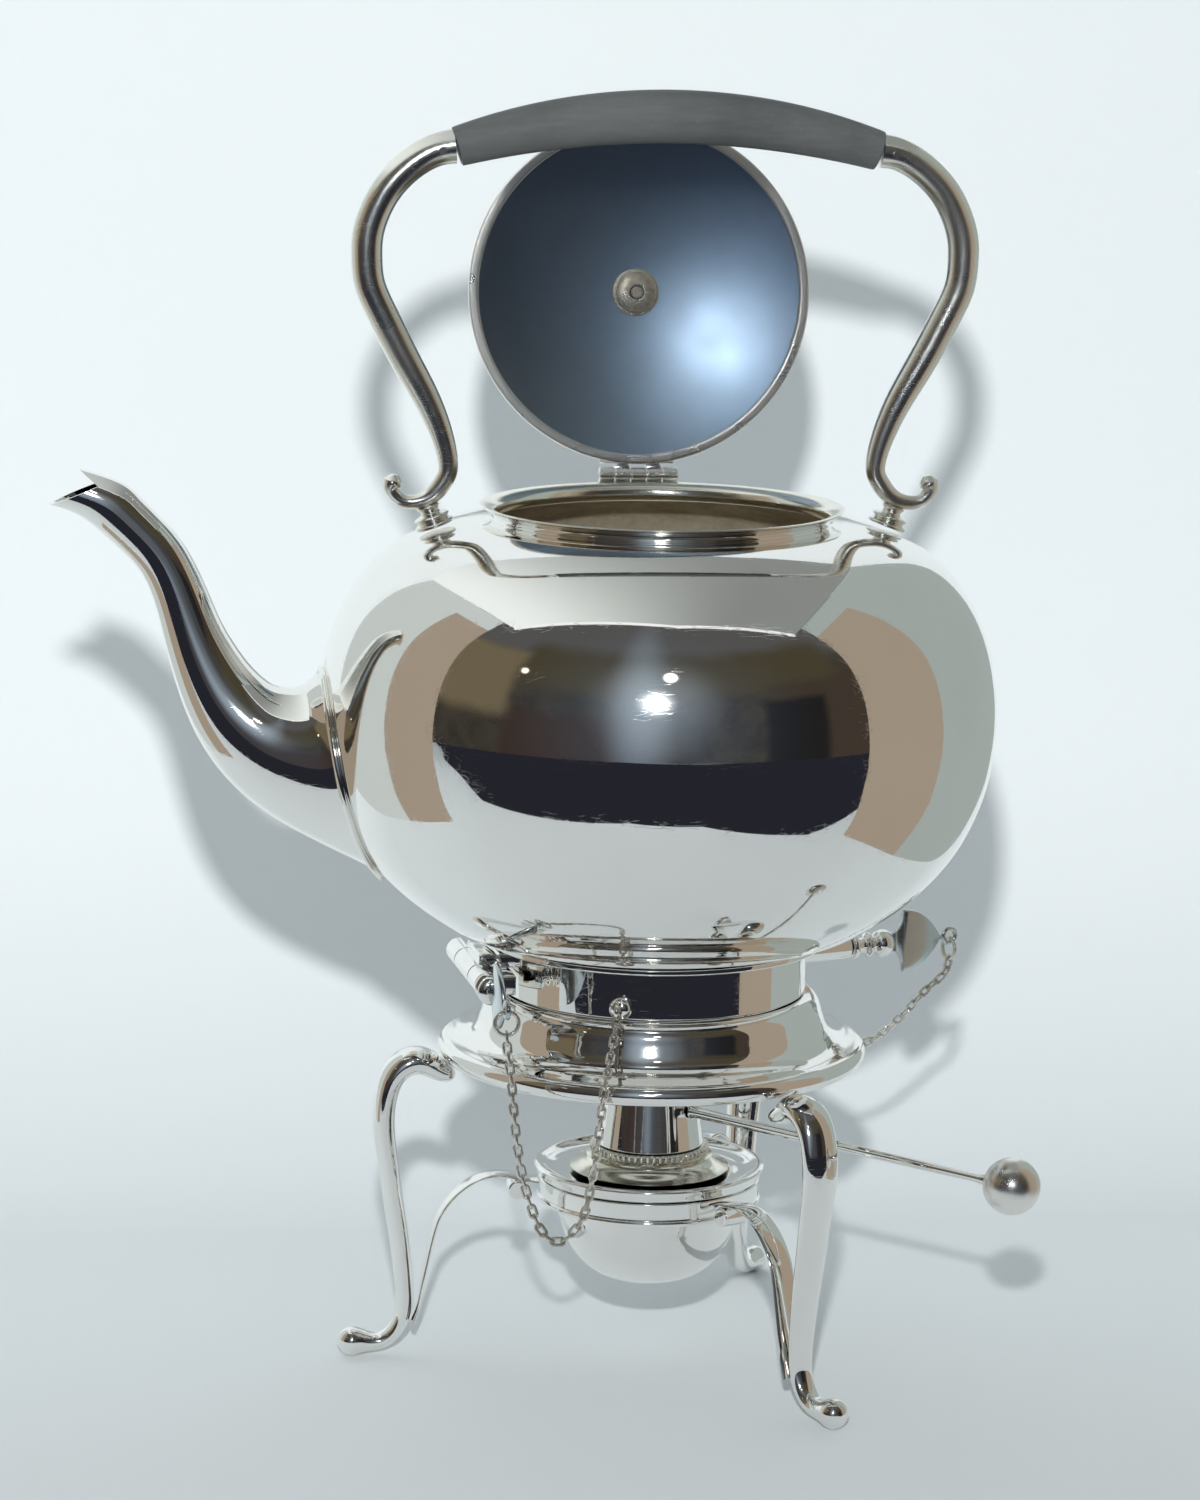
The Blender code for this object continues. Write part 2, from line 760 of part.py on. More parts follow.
def loft(name, sections, capped=True):
    """A skin through unlike sections that have as many points each."""
    mesh = bpy.data.meshes.new(name)
    shape = bmesh.new()
    rings = [[shape.verts.new(point) for point in section] for section in sections]
    for first, second in zip(rings, rings[1:]):
        count = len(first)
        for i in range(count):
            j = (i + 1) % count
            shape.faces.new((first[i], first[j], second[j], second[i]))
    if capped:
        shape.faces.new(rings[0])
        shape.faces.new(rings[-1])
        bmesh.ops.recalc_face_normals(shape, faces=shape.faces)
    shape.to_mesh(mesh)
    shape.free()
    mesh.shade_smooth()
    return bpy.data.objects.new(name, mesh)


def swept_band(name, centres, thicknesses, widths, azimuth, sides):
    """A bar in the upright plane of an azimuth, with oval sections square to its path."""
    sections = []
    tangent = azimuth_frame(azimuth) @ Vector((0, 1, 0))
    for i, centre in enumerate(centres):
        ahead = centres[min(i + 1, len(centres) - 1)] - centres[max(i - 1, 0)]
        across = ahead.cross(tangent).normalized() * thicknesses[i]
        sections.append(rounded_section(centre, across, tangent * widths[i], sides))
    return loft(name, sections)


def body_outline():
    """The body's outer side, from its mouth over its widest radius to its foot."""
    upper = [(between(MOUTH_RADIUS, BODY_RADIUS, r), z) for r, z in BODY_UPPER_SHARES]
    lower = [(between(BODY_FOOT_RADIUS, BODY_RADIUS, r), z) for r, z in BODY_LOWER_SHARES]
    return [(radius, BODY_BOTTOM + BODY_HEIGHT * z) for radius, z in upper + lower]


def grown(outline, distance):
    """An outline moved outwards, square to itself. It ends level where it began."""
    moved = []
    last = len(outline) - 1
    for i, (radius, height) in enumerate(outline):
        before = outline[max(i - 1, 0)]
        after = outline[min(i + 1, last)]
        along = Vector((after[0] - before[0], after[1] - before[1])).normalized()
        moved.append((radius - along.y * distance, height + along.x * distance))
    return moved


def body_solid(name, growth):
    """The kettle's body as a filled solid, made larger all round."""
    outline = grown(body_outline(), growth)
    outline[-1] = (outline[-1][0], BODY_BOTTOM - growth)
    return turned_solid(name, outline, LARGE_STEPS)


def make_stand():
    ring_outline = [
        (RING_RADIUS, RING_TOP),
        (RING_RADIUS, RING_BOTTOM),
        (RING_BORE, RING_BOTTOM),
        (RING_BORE, RING_TOP),
    ]
    ring = turned_ring("stand_ring", ring_outline, LARGE_STEPS)
    notch = box(
        "notch_cutter",
        (RING_BORE - OVERRUN, -NOTCH_HALF_WIDTH, RING_TOP - NOTCH_DEPTH),
        (RING_RADIUS + OVERRUN, NOTCH_HALF_WIDTH, RING_TOP + OVERRUN),
        azimuth_frame(HINGE_AZIMUTH),
    )
    pin_hole = cylinder(
        "pin_hole_cutter",
        PIN_BORE,
        radial(LOCK_AZIMUTH, RING_BORE - OVERRUN, LOCK_HEIGHT),
        radial(LOCK_AZIMUTH, RING_RADIUS + OVERRUN, LOCK_HEIGHT),
        SMALL_STEPS,
    )
    finished(cut(ring, cut_ready(notch), cut_ready(pin_hole)), SILVER, ROOT)
    finished(flange(), SILVER, ROOT)
    seat = cylinder(
        "leg_seat_cutter",
        FLANGE_RADIUS + GAP,
        (0, 0, FLANGE_FLOOR_HEIGHT - GAP),
        (0, 0, FLANGE_TOP),
        LARGE_STEPS,
    )
    floor = cylinder(
        "floor_cutter",
        TOE_REACH + TOE_RADIUS + OVERRUN,
        (0, 0, -OVERRUN),
        (0, 0, 0),
        LARGE_STEPS,
    )
    seat, floor = cut_ready(seat), cut_ready(floor)
    for number, azimuth in enumerate(LEG_AZIMUTHS, start=1):
        finished(cut(leg(f"leg_{number}", azimuth), seat, floor), SILVER, ROOT)
        finished(strap(f"strap_{number}", azimuth), SILVER, ROOT)
    holder_outline = [
        (HOLDER_RADIUS, HOLDER_TOP),
        (HOLDER_RADIUS, HOLDER_BOTTOM),
        (HOLDER_RADIUS - HOLDER_WALL, HOLDER_BOTTOM),
        (HOLDER_RADIUS - HOLDER_WALL, HOLDER_TOP),
    ]
    holder = turned_ring("burner_holder", holder_outline, LARGE_STEPS)
    finished(holder, SILVER, ROOT)


def flange():
    """The flange is a thin skin over a hollow, with a half-round edge."""
    def place(share, height_share):
        radius = between(RING_RADIUS, FLANGE_RADIUS, share)
        return radius, FLANGE_FLOOR_HEIGHT + FLANGE_DEPTH * height_share

    top = [place(*shares) for shares in FLANGE_TOP_SHARES]
    edge_centre = FLANGE_RADIUS - FLANGE_EDGE_RADIUS
    edge_height = FLANGE_FLOOR_HEIGHT + FLANGE_EDGE_RADIUS
    edge = []
    for i in range(SMALL_STEPS // 2 + 1):
        angle = math.pi * (0.5 - 2 * i / SMALL_STEPS)
        radius = edge_centre + FLANGE_EDGE_RADIUS * math.cos(angle)
        edge.append((radius, edge_height + FLANGE_EDGE_RADIUS * math.sin(angle)))
    outer = top + edge
    inset, drop = [FLANGE_WALL * share for share in FLANGE_UNDERSIDE_SHARES]
    under = [(radius - inset, height - drop) for radius, height in reversed(top)]
    inner = [(RING_BORE, FLANGE_TOP - FLANGE_WALL), (RING_BORE, FLANGE_TOP)]
    lip_radius = edge_centre - FLANGE_WALL
    lip = [(lip_radius, FLANGE_FLOOR_HEIGHT), (lip_radius, under[0][1])]
    return turned_ring("stand_flange", outer + lip + under[1:] + inner, LARGE_STEPS)


def leg_places(azimuth):
    centres, thicknesses, widths = [], [], []
    for reach, height, thickness, width in LEG_SHARES:
        centres.append(radial(azimuth, LEG_REACH * reach, LEG_HEIGHT * height))
        thicknesses.append(LEG_HALF_WIDTH * thickness)
        widths.append(LEG_HALF_WIDTH * width)
    return centres, thicknesses, widths


def leg(name, azimuth):
    return swept_band(name, *leg_places(azimuth), azimuth, TUBE_SIDES)


def strap(name, azimuth):
    """A flat band from the inside of the ankle up and over to the burner holder."""
    holder_reach = HOLDER_RADIUS + GAP
    holder_height = HOLDER_TOP - STRAP_HALF_THICKNESS - GAP
    centres = []
    for reach, rise in STRAP_SHARES:
        centres.append(
            radial(
                azimuth,
                between(STRAP_FOOT_REACH, holder_reach, reach),
                between(STRAP_FOOT_HEIGHT, holder_height, rise),
            )
        )
    count = len(centres)
    band = swept_band(
        name,
        centres,
        [STRAP_HALF_THICKNESS] * count,
        [STRAP_HALF_WIDTH] * count,
        azimuth,
        SMALL_STEPS // 2,
    )
    roll_reach = between(STRAP_FOOT_REACH, holder_reach, STRAP_ROLL_SHARE[0])
    strap_height = between(STRAP_FOOT_HEIGHT, holder_height, STRAP_ROLL_SHARE[1])
    side = azimuth_frame(azimuth) @ Vector((0, STRAP_HALF_WIDTH, 0))
    middle = radial(azimuth, roll_reach, strap_height - STRAP_ROLL_RADIUS)
    roll = cylinder(
        name + "_roll", STRAP_ROLL_RADIUS, middle - side, middle + side, SMALL_STEPS
    )
    around_holder = cylinder(
        name + "_holder_cutter",
        HOLDER_RADIUS + GAP,
        (0, 0, HOLDER_BOTTOM - OVERRUN),
        (0, 0, HOLDER_TOP + OVERRUN),
        LARGE_STEPS,
    )
    return cut(joined(band, roll), cut_ready(around_holder))


def make_hinge():
    """The tilting hinge: two knuckles on the stand and the kettle's own between them."""
    frame = azimuth_frame(HINGE_AZIMUTH)

    def place(along, reach=HINGE_REACH, height=HINGE_HEIGHT):
        return frame @ Vector((reach, along, height))

    around_ring = cylinder(
        "ring_clearance",
        RING_RADIUS + GAP,
        (0, 0, FLANGE_TOP),
        (0, 0, RING_TOP),
        LARGE_STEPS,
    )
    around_ring = cut_ready(around_ring)
    bore = cylinder(
        "hinge_bore_cutter",
        PIN_BORE,
        place(HINGE_FAR_END - OVERRUN),
        place(HINGE_NEAR_END + OVERRUN),
        SMALL_STEPS,
    )
    bore = cut_ready(bore)
    middle_end = HINGE_MIDDLE_HALF + GAP
    web_top = RING_TOP - NOTCH_DEPTH - GAP
    spans = (
        ("hinge_knuckle_far", HINGE_FAR_END, -middle_end),
        ("hinge_knuckle_near", middle_end, HINGE_NEAR_END),
    )
    for name, start, end in spans:
        barrel = cylinder(
            name, HINGE_BARREL_RADIUS, place(start), place(end), SMALL_STEPS
        )
        web = box(
            name + "_web",
            (RING_BORE - OVERRUN, start, web_top - KNUCKLE_WEB_HEIGHT),
            (HINGE_REACH, end, web_top),
            frame,
        )
        finished(cut(joined(barrel, web), around_ring, bore), SILVER, ROOT)
    lug = cylinder(
        "kettle_hinge_lug",
        HINGE_BARREL_RADIUS,
        place(-HINGE_MIDDLE_HALF),
        place(HINGE_MIDDLE_HALF),
        SMALL_STEPS,
    )
    plate_bottom = RING_TOP - NOTCH_DEPTH + GAP
    plate_top = BASE_RING_BOTTOM - GAP
    plate = box(
        "lug_plate",
        (LUG_INNER_REACH, -LUG_HALF_WIDTH, plate_bottom),
        (LUG_PLATE_REACH, LUG_HALF_WIDTH, plate_top),
        frame,
    )
    web = box(
        "lug_web",
        (LUG_PLATE_REACH - OVERRUN, -HINGE_MIDDLE_HALF + BURIED, HINGE_HEIGHT + BURIED),
        (HINGE_REACH, HINGE_MIDDLE_HALF - BURIED, plate_top - LUG_WEB_DROP),
        frame,
    )
    inside_ring = box(
        "lug_ring_clearance",
        (LUG_INNER_REACH - OVERRUN, -LUG_HALF_WIDTH - OVERRUN, HINGE_HEIGHT - OVERRUN),
        (RING_RADIUS + GAP, LUG_HALF_WIDTH + OVERRUN, plate_bottom),
        frame,
    )
    inside_ring = cut_ready(inside_ring)
    finished(cut(joined(lug, plate, web), bore, inside_ring), SILVER, TILT_AXIS)


def make_pin(name, tip, bead, outward, eye_reach, parent):
    """A pin with its bead, bulb and winged head, pulled out along `outward`."""
    outward = Vector(outward).normalized()
    tip, bead = Vector(tip), Vector(bead)
    shaft_length = (bead - tip).length
    outline = [(PIN_RADIUS, 0.0), (PIN_RADIUS, shaft_length)]
    outline += [
        (BEAD_RADIUS * r, shaft_length + BEAD_LENGTH * along)
        for r, along in BEAD_SHARES
    ]
    bulb_start = shaft_length + BEAD_LENGTH
    bulb_length = eye_reach - WING_LENGTH - BEAD_LENGTH
    outline += [
        (BULB_RADIUS * r, bulb_start + bulb_length * along) for r, along in BULB_SHARES
    ]
    pin = turned_solid(name, outline[::-1], SMALL_STEPS, tip, outward)
    finished(pin, SILVER, parent)
    wing_start = bead + outward * (BEAD_LENGTH + bulb_length + GAP)
    side = UP.cross(outward)
    frame = Matrix((outward, UP, outward.cross(UP))).transposed().to_4x4()
    frame.translation = wing_start
    eye = bead + outward * eye_reach
    reach = (eye - wing_start).length - EYE_RADIUS
    outline = [(along * reach, spread * WING_SPREAD) for along, spread in WING_SHARES]
    outline.append((reach + BURIED - EYE_WIRE, 0.0))
    outline += [(along, -spread) for along, spread in reversed(outline[:-1])]
    wing = flat_plate(name + "_wing", outline, WING_THICKNESS, frame)
    loop = wire_ring(name + "_eye", EYE_RADIUS, EYE_WIRE, SMALL_STEPS, eye, side)
    finished(joined(wing, loop), SILVER, parent)
    hang = EYE_RADIUS - EYE_WIRE - GAP + LINK_RING_RADIUS - LINK_RING_WIRE
    link = wire_ring(
        name + "_link_ring",
        LINK_RING_RADIUS,
        LINK_RING_WIRE,
        SMALL_STEPS,
        eye - UP * hang,
        outward,
    )
    finished(link, SILVER, parent)


def flat_plate(name, outline, thickness, frame):
    """A flat plate cut to an outline, extruded to both sides of its own plane."""
    curve = bpy.data.curves.new(name, "CURVE")
    curve.dimensions = "2D"
    curve.fill_mode = "BOTH"
    curve.extrude = thickness / 2
    spline = curve.splines.new("POLY")
    spline.points.add(len(outline) - 1)
    spline.use_cyclic_u = True
    for point, (x, y) in zip(spline.points, outline):
        point.co = (x, y, 0, 1)
    obj = bpy.data.objects.new(name, curve)
    obj.matrix_world = frame
    return meshed(obj)


def make_pins():
    frame = azimuth_frame(HINGE_AZIMUTH)
    tangent = frame @ Vector((0, 1, 0))
    hinge_tip = frame @ Vector((HINGE_REACH, HINGE_PIN_TIP, HINGE_HEIGHT))
    bead = frame @ Vector((HINGE_REACH, HINGE_NEAR_END + RUNNING_GAP, HINGE_HEIGHT))
    axis = new_empty("hinge_pin_slide", hinge_tip, ROOT)
    eye_reach = BEAD_LENGTH + BULB_LENGTH + WING_LENGTH - HINGE_EYE_INSET
    make_pin("hinge_pin", hinge_tip, bead, tangent, eye_reach, axis)
    lock_tip = radial(LOCK_AZIMUTH, RING_BORE + LOCK_PIN_TIP_INSET, LOCK_HEIGHT)
    lock_bead = radial(LOCK_AZIMUTH, LOCK_SOCKET_END + RUNNING_GAP, LOCK_HEIGHT)
    axis = new_empty("lock_pin_slide", lock_tip, ROOT)
    outward = radial(LOCK_AZIMUTH, 1.0)
    eye_reach = BEAD_LENGTH + BULB_LENGTH + WING_LENGTH
    make_pin("lock_pin", lock_tip, lock_bead, outward, eye_reach, axis)


def make_lock():
    """The socket on the stand's ring, and the kettle's lug that the pin can enter."""
    socket = sleeve(
        "lock_socket",
        LOCK_SOCKET_RADIUS,
        PIN_BORE,
        radial(LOCK_AZIMUTH, RING_RADIUS - OVERRUN, LOCK_HEIGHT),
        radial(LOCK_AZIMUTH, LOCK_SOCKET_END, LOCK_HEIGHT),
        SMALL_STEPS,
    )
    finished(cut(socket, bpy.data.objects["ring_clearance"]), SILVER, ROOT)
    frame = azimuth_frame(LOCK_AZIMUTH)
    outer = RING_BORE - GAP - RUNNING_GAP
    plate = box(
        "kettle_lock_lug",
        (outer - LOCK_LUG_WALL, -LOCK_LUG_HALF_WIDTH, LOCK_HEIGHT - LOCK_LUG_DROP),
        (outer, LOCK_LUG_HALF_WIDTH, BODY_BOTTOM - GAP),
        frame,
    )
    hole = cylinder(
        "lock_hole_cutter",
        PIN_BORE,
        radial(LOCK_AZIMUTH, outer - LOCK_LUG_WALL - OVERRUN, LOCK_HEIGHT),
        radial(LOCK_AZIMUTH, outer + OVERRUN, LOCK_HEIGHT),
        SMALL_STEPS,
    )
    bore = cylinder(
        "ring_bore_trim",
        outer,
        (0, 0, FLANGE_TOP - OVERRUN),
        (0, 0, BODY_BOTTOM + OVERRUN),
        LARGE_STEPS,
    )
    boolean(plate, "INTERSECT", cut_ready(bore))
    finished(cut(plate, cut_ready(hole)), SILVER, TILT_AXIS)


def make_eyelets():
    for side, azimuth in zip(("near", "back"), EYELET_AZIMUTHS):
        name = "chain_eyelet_" + side
        length = RING_WALL + EYELET_BOSS_HEIGHT
        outline = []
        for i in range(1, SMALL_STEPS // 2 + 1):
            angle = math.pi * i / SMALL_STEPS
            outline.append(
                (EYELET_BOSS_RADIUS * math.sin(angle), length * math.cos(angle))
            )
        foot = radial(azimuth, RING_BORE, EYELET_HEIGHT)
        outward = radial(azimuth, 1.0)
        boss = turned_solid(name, outline, SMALL_STEPS, foot, outward)
        reach = RING_RADIUS + EYELET_BOSS_HEIGHT + EYELET_LOOP_RADIUS - BURIED
        tangent = azimuth_frame(azimuth) @ Vector((0, 1, 0))
        loop = wire_ring(
            name + "_loop",
            EYELET_LOOP_RADIUS,
            EYELET_LOOP_WIRE,
            SMALL_STEPS,
            radial(azimuth, reach, EYELET_HEIGHT),
            tangent,
        )
        boss = cut(joined(boss, loop), bpy.data.objects["ring_clearance"])
        finished(boss, SILVER, ROOT)


def make_chains():
    """Each chain hangs between an eyelet and its pin, and moves with the pin."""
    for pin, route in (("hinge_pin", HINGE_CHAIN_ROUTE), ("lock_pin", LOCK_CHAIN_ROUTE)):
        points = [(x, y, RING_BOTTOM + rise) for x, y, rise in route]
        chain = tube(pin + "_chain", smooth_route(points, CHAIN_STEP), CHAIN_RADIUS)
        finished(chain, SILVER, bpy.data.objects[pin + "_slide"])


def make_body():
    body = turned_shell(
        "kettle_body", body_outline() + [(0.0, BODY_BOTTOM)], BODY_WALL, LARGE_STEPS
    )
    hole = cylinder(
        "pour_hole_cutter",
        POUR_HOLE_RADIUS,
        spout_point(SPOUT_SHARES[3], 0.5),
        spout_point(SPOUT_SHARES[0], 0.5),
        SMALL_STEPS,
    )
    finished(cut(body, cut_ready(hole)), SILVER, TILT_AXIS)
    outline = [(LIP_RADIUS * r, NECK_BOTTOM + NECK_HEIGHT * z) for r, z in NECK_SHARES]
    waist = outline[-2]
    skirt_bottom = NECK_BOTTOM - NECK_SKIRT_DEPTH
    outline += [
        (NECK_FOOT_RADIUS, NECK_BOTTOM + NECK_HEIGHT * NECK_FOOT_SHARE),
        (NECK_FOOT_RADIUS, NECK_BOTTOM),
        (NECK_BORE + NECK_WALL, NECK_BOTTOM),
        (NECK_BORE + NECK_WALL, skirt_bottom),
        (NECK_BORE, skirt_bottom),
        (waist[0] - NECK_WALL, waist[1]),
        (LIP_RADIUS - NECK_WALL, LIP_TOP),
        (LIP_RADIUS - NECK_LIP_ROUND, LIP_TOP),
    ]
    finished(turned_ring("kettle_neck", outline, LARGE_STEPS), SILVER, TILT_AXIS)
    ring = sleeve(
        "kettle_base_ring",
        BASE_RING_OUTER,
        BASE_RING_INNER,
        (0, 0, BASE_RING_BOTTOM),
        (0, 0, BASE_RING_BOTTOM + BASE_RING_HEIGHT),
        LARGE_STEPS,
    )
    finished(ring, SILVER, TILT_AXIS)


def spout_place(reach, height):
    """The point at this reach, inside and beyond the body's side, and at this height."""
    inside, beyond = min(reach, 1.0), max(reach - 1.0, 0.0)
    x = BODY_RADIUS * inside + SPOUT_LENGTH * beyond
    return Vector((-x, 0, BODY_BOTTOM + BODY_HEIGHT * height))


def spout_point(section, share):
    """A point between the underside and the top of one of the spout's sections."""
    under, top, _ = section
    return spout_place(
        between(under[0], top[0], share), between(under[1], top[1], share)
    )


def spout_skin(name, sections, growth, capped=False):
    rings = []
    for section in sections:
        under, top = spout_point(section, 0.0), spout_point(section, 1.0)
        across = (top - under) / 2
        half = across.length
        side = Vector((0, SPOUT_ROOT_HALF_WIDTH * section[2] + growth, 0))
        across = across * (half + growth) / half
        rings.append(rounded_section((under + top) / 2, across, side, LARGE_STEPS // 2))
    return loft(name, rings, capped)


def make_spout():
    outside = cut_ready(body_solid("body_clearance", GAP))
    skin = spout_skin("spout", SPOUT_SHARES, 0.0)
    outline = [
        spout_place(*BEAK_CORNER_SHARE),
        spout_place(*BEAK_UPPER_SHARE),
        spout_place(BEAK_LOWER_SHARE[0], BEAK_UPPER_SHARE[1]),
        spout_place(*BEAK_LOWER_SHARE),
    ]
    wide = Vector((0, SPOUT_ROOT_HALF_WIDTH, 0))
    near = [point - wide for point in outline]
    wedge = loft("beak_cutter", [near, [point + wide for point in outline]])
    finished(cut(walled(skin, SPOUT_WALL), outside, cut_ready(wedge)), SILVER, TILT_AXIS)
    band_root = SPOUT_SHARES[:4]
    band = spout_skin("spout_band", band_root, SPOUT_BAND_WALL + GAP, capped=True)
    core = cut_ready(spout_skin("spout_band_core", band_root, DOUBLE_GAP, capped=True))
    reach = cut_ready(body_solid("band_trim", GAP + SPOUT_BAND_WIDTH))
    boolean(band, "INTERSECT", reach)
    finished(cut(band, outside, core), SILVER, TILT_AXIS)


def make_handle():
    slope = math.radians(FOOT_TILT)
    seat_height = body_height_at(FOOT_REACH) + FOOT_SEAT
    arm_bottom = seat_height + FOOT_HEIGHT * math.cos(slope) + ARM_SEAT
    for side, sign in (("spout_side", -1.0), ("lock_side", 1.0)):
        axis = Vector((sign * math.sin(slope), 0, math.cos(slope)))
        seat = Vector((sign * FOOT_REACH, 0, seat_height))
        outline = [(FOOT_RADIUS * r, FOOT_HEIGHT * z) for r, z in FOOT_SHARES]
        foot = turned_solid("handle_foot_" + side, outline, SMALL_STEPS, seat, axis)
        centres, shares = [], []
        for reach, rise, thickness in ARM_SHARES:
            height = arm_bottom + ARM_RISE * rise
            centres.append(Vector((sign * ARM_REACH * reach, 0, height)))
            shares.append(thickness)
        arm = meshed(tube("handle_arm_" + side, centres, ARM_RADIUS, shares, 3))
        wide = [share + GAP / ARM_RADIUS for share in shares]
        around_arm = meshed(tube(side + "_clearance", centres, ARM_RADIUS, wide, 3))
        unlinked(around_arm)
        finished(cut(foot, cut_ready(around_arm)), SILVER, TILT_AXIS)
        pin_height = centres[0].z - GRIP_PIN_DROP
        pin_place = Vector((sign * GRIP_PIN_REACH, 0, pin_height))
        half = Vector((0, ARM_RADIUS, 0))
        beyond = Vector((0, ARM_RADIUS + OVERRUN, 0))
        hole = cylinder(
            side + "_grip_pin_hole",
            GRIP_PIN_RADIUS + GAP,
            pin_place - beyond,
            pin_place + beyond,
            TINY_STEPS,
        )
        unlinked(arm)
        finished(cut(arm, cut_ready(hole)), SILVER, TILT_AXIS)
        pin = cylinder(
            "grip_pin_" + side,
            GRIP_PIN_RADIUS,
            pin_place - half,
            pin_place + half,
            TINY_STEPS,
        )
        finished(pin, SILVER, TILT_AXIS)
    half_span = ARM_REACH * ARM_SHARES[0][0] - GRIP_END_GAP
    radius = (half_span**2 + GRIP_SAG**2) / (2 * GRIP_SAG)
    sweep = math.asin(half_span / radius)
    middle_height = arm_bottom + ARM_RISE + GRIP_SAG
    points = []
    last = len(GRIP_THICKNESS_SHARES) - 1
    for i in range(last + 1):
        angle = sweep * (2 * i / last - 1)
        drop = radius * (1 - math.cos(angle))
        points.append(Vector((radius * math.sin(angle), 0, middle_height - drop)))
    grip = tube("handle_grip", points, GRIP_RADIUS, GRIP_THICKNESS_SHARES, 4)
    finished(grip, BLACK_GRIP, TILT_AXIS)


def unlinked(obj):
    for collection in list(obj.users_collection):
        collection.objects.unlink(obj)
    return obj


def body_height_at(reach):
    """The height of the body's shoulder at this reach from the axis."""
    outline = body_outline()
    for (r1, z1), (r2, z2) in zip(outline, outline[1:]):
        if r1 <= reach <= r2:
            return between(z1, z2, (reach - r1) / (r2 - r1))
    return outline[0][1]


def make_lid():
    """The lid is built closed, then swung open round its hinge."""
    bezel = sleeve(
        "lid_bezel",
        LID_RADIUS,
        LID_RADIUS - BEZEL_WIDTH,
        (0, 0, LID_BOTTOM),
        (0, 0, BEZEL_TOP),
        LARGE_STEPS,
    )
    finished(bezel, SILVER, LID_AXIS)
    stud_hole = STUD_RADIUS + GAP
    outline = [(stud_hole, LID_TOP)]
    for share in LID_SHARES:
        outline.append((LID_RADIUS * share, lid_height(LID_RADIUS * share)))
    finished(turned_shell("lid_shell", outline, LID_WALL, LARGE_STEPS), SILVER, LID_AXIS)
    washer_top = lid_height(WASHER_RADIUS) - LID_WALL - GAP
    washer = sleeve(
        "lid_washer",
        WASHER_RADIUS,
        stud_hole,
        (0, 0, washer_top - WASHER_WALL),
        (0, 0, washer_top),
        MIDDLE_STEPS,
    )
    finished(washer, WORN_SILVER, LID_AXIS)
    nut_top = washer_top - WASHER_WALL - GAP
    nut = sleeve(
        "lid_nut",
        NUT_RADIUS,
        stud_hole,
        (0, 0, nut_top - NUT_HEIGHT),
        (0, 0, nut_top),
        MIDDLE_STEPS,
    )
    finished(nut, WORN_SILVER, LID_AXIS)
    stud = cylinder(
        "lid_stud",
        STUD_RADIUS,
        (0, 0, nut_top - NUT_HEIGHT - STUD_TIP),
        (0, 0, LID_TOP),
        SMALL_STEPS,
    )
    finished(stud, WORN_SILVER, LID_AXIS)
    base_bottom = LID_TOP + GAP
    outline = [
        (FINIAL_BASE_RADIUS * r, base_bottom + FINIAL_BASE_HEIGHT * z)
        for r, z in FINIAL_BASE_SHARES
    ]
    finished(turned_solid("finial_base", outline, MIDDLE_STEPS), SILVER, LID_AXIS)
    knob_bottom = base_bottom + FINIAL_BASE_HEIGHT + GAP
    outline = [
        (FINIAL_KNOB_RADIUS * r, knob_bottom + FINIAL_KNOB_HEIGHT * z)
        for r, z in FINIAL_KNOB_SHARES
    ]
    finished(turned_solid("finial_knob", outline, MIDDLE_STEPS), BLACK_GRIP, LID_AXIS)
    make_lid_hinge()


def lid_height(radius):
    """The height of the lid's dome at this radius, with the lid closed."""
    edge = LID_TOP - LID_RISE
    return edge + LID_RISE * (1 - (radius / LID_RADIUS) ** 2)


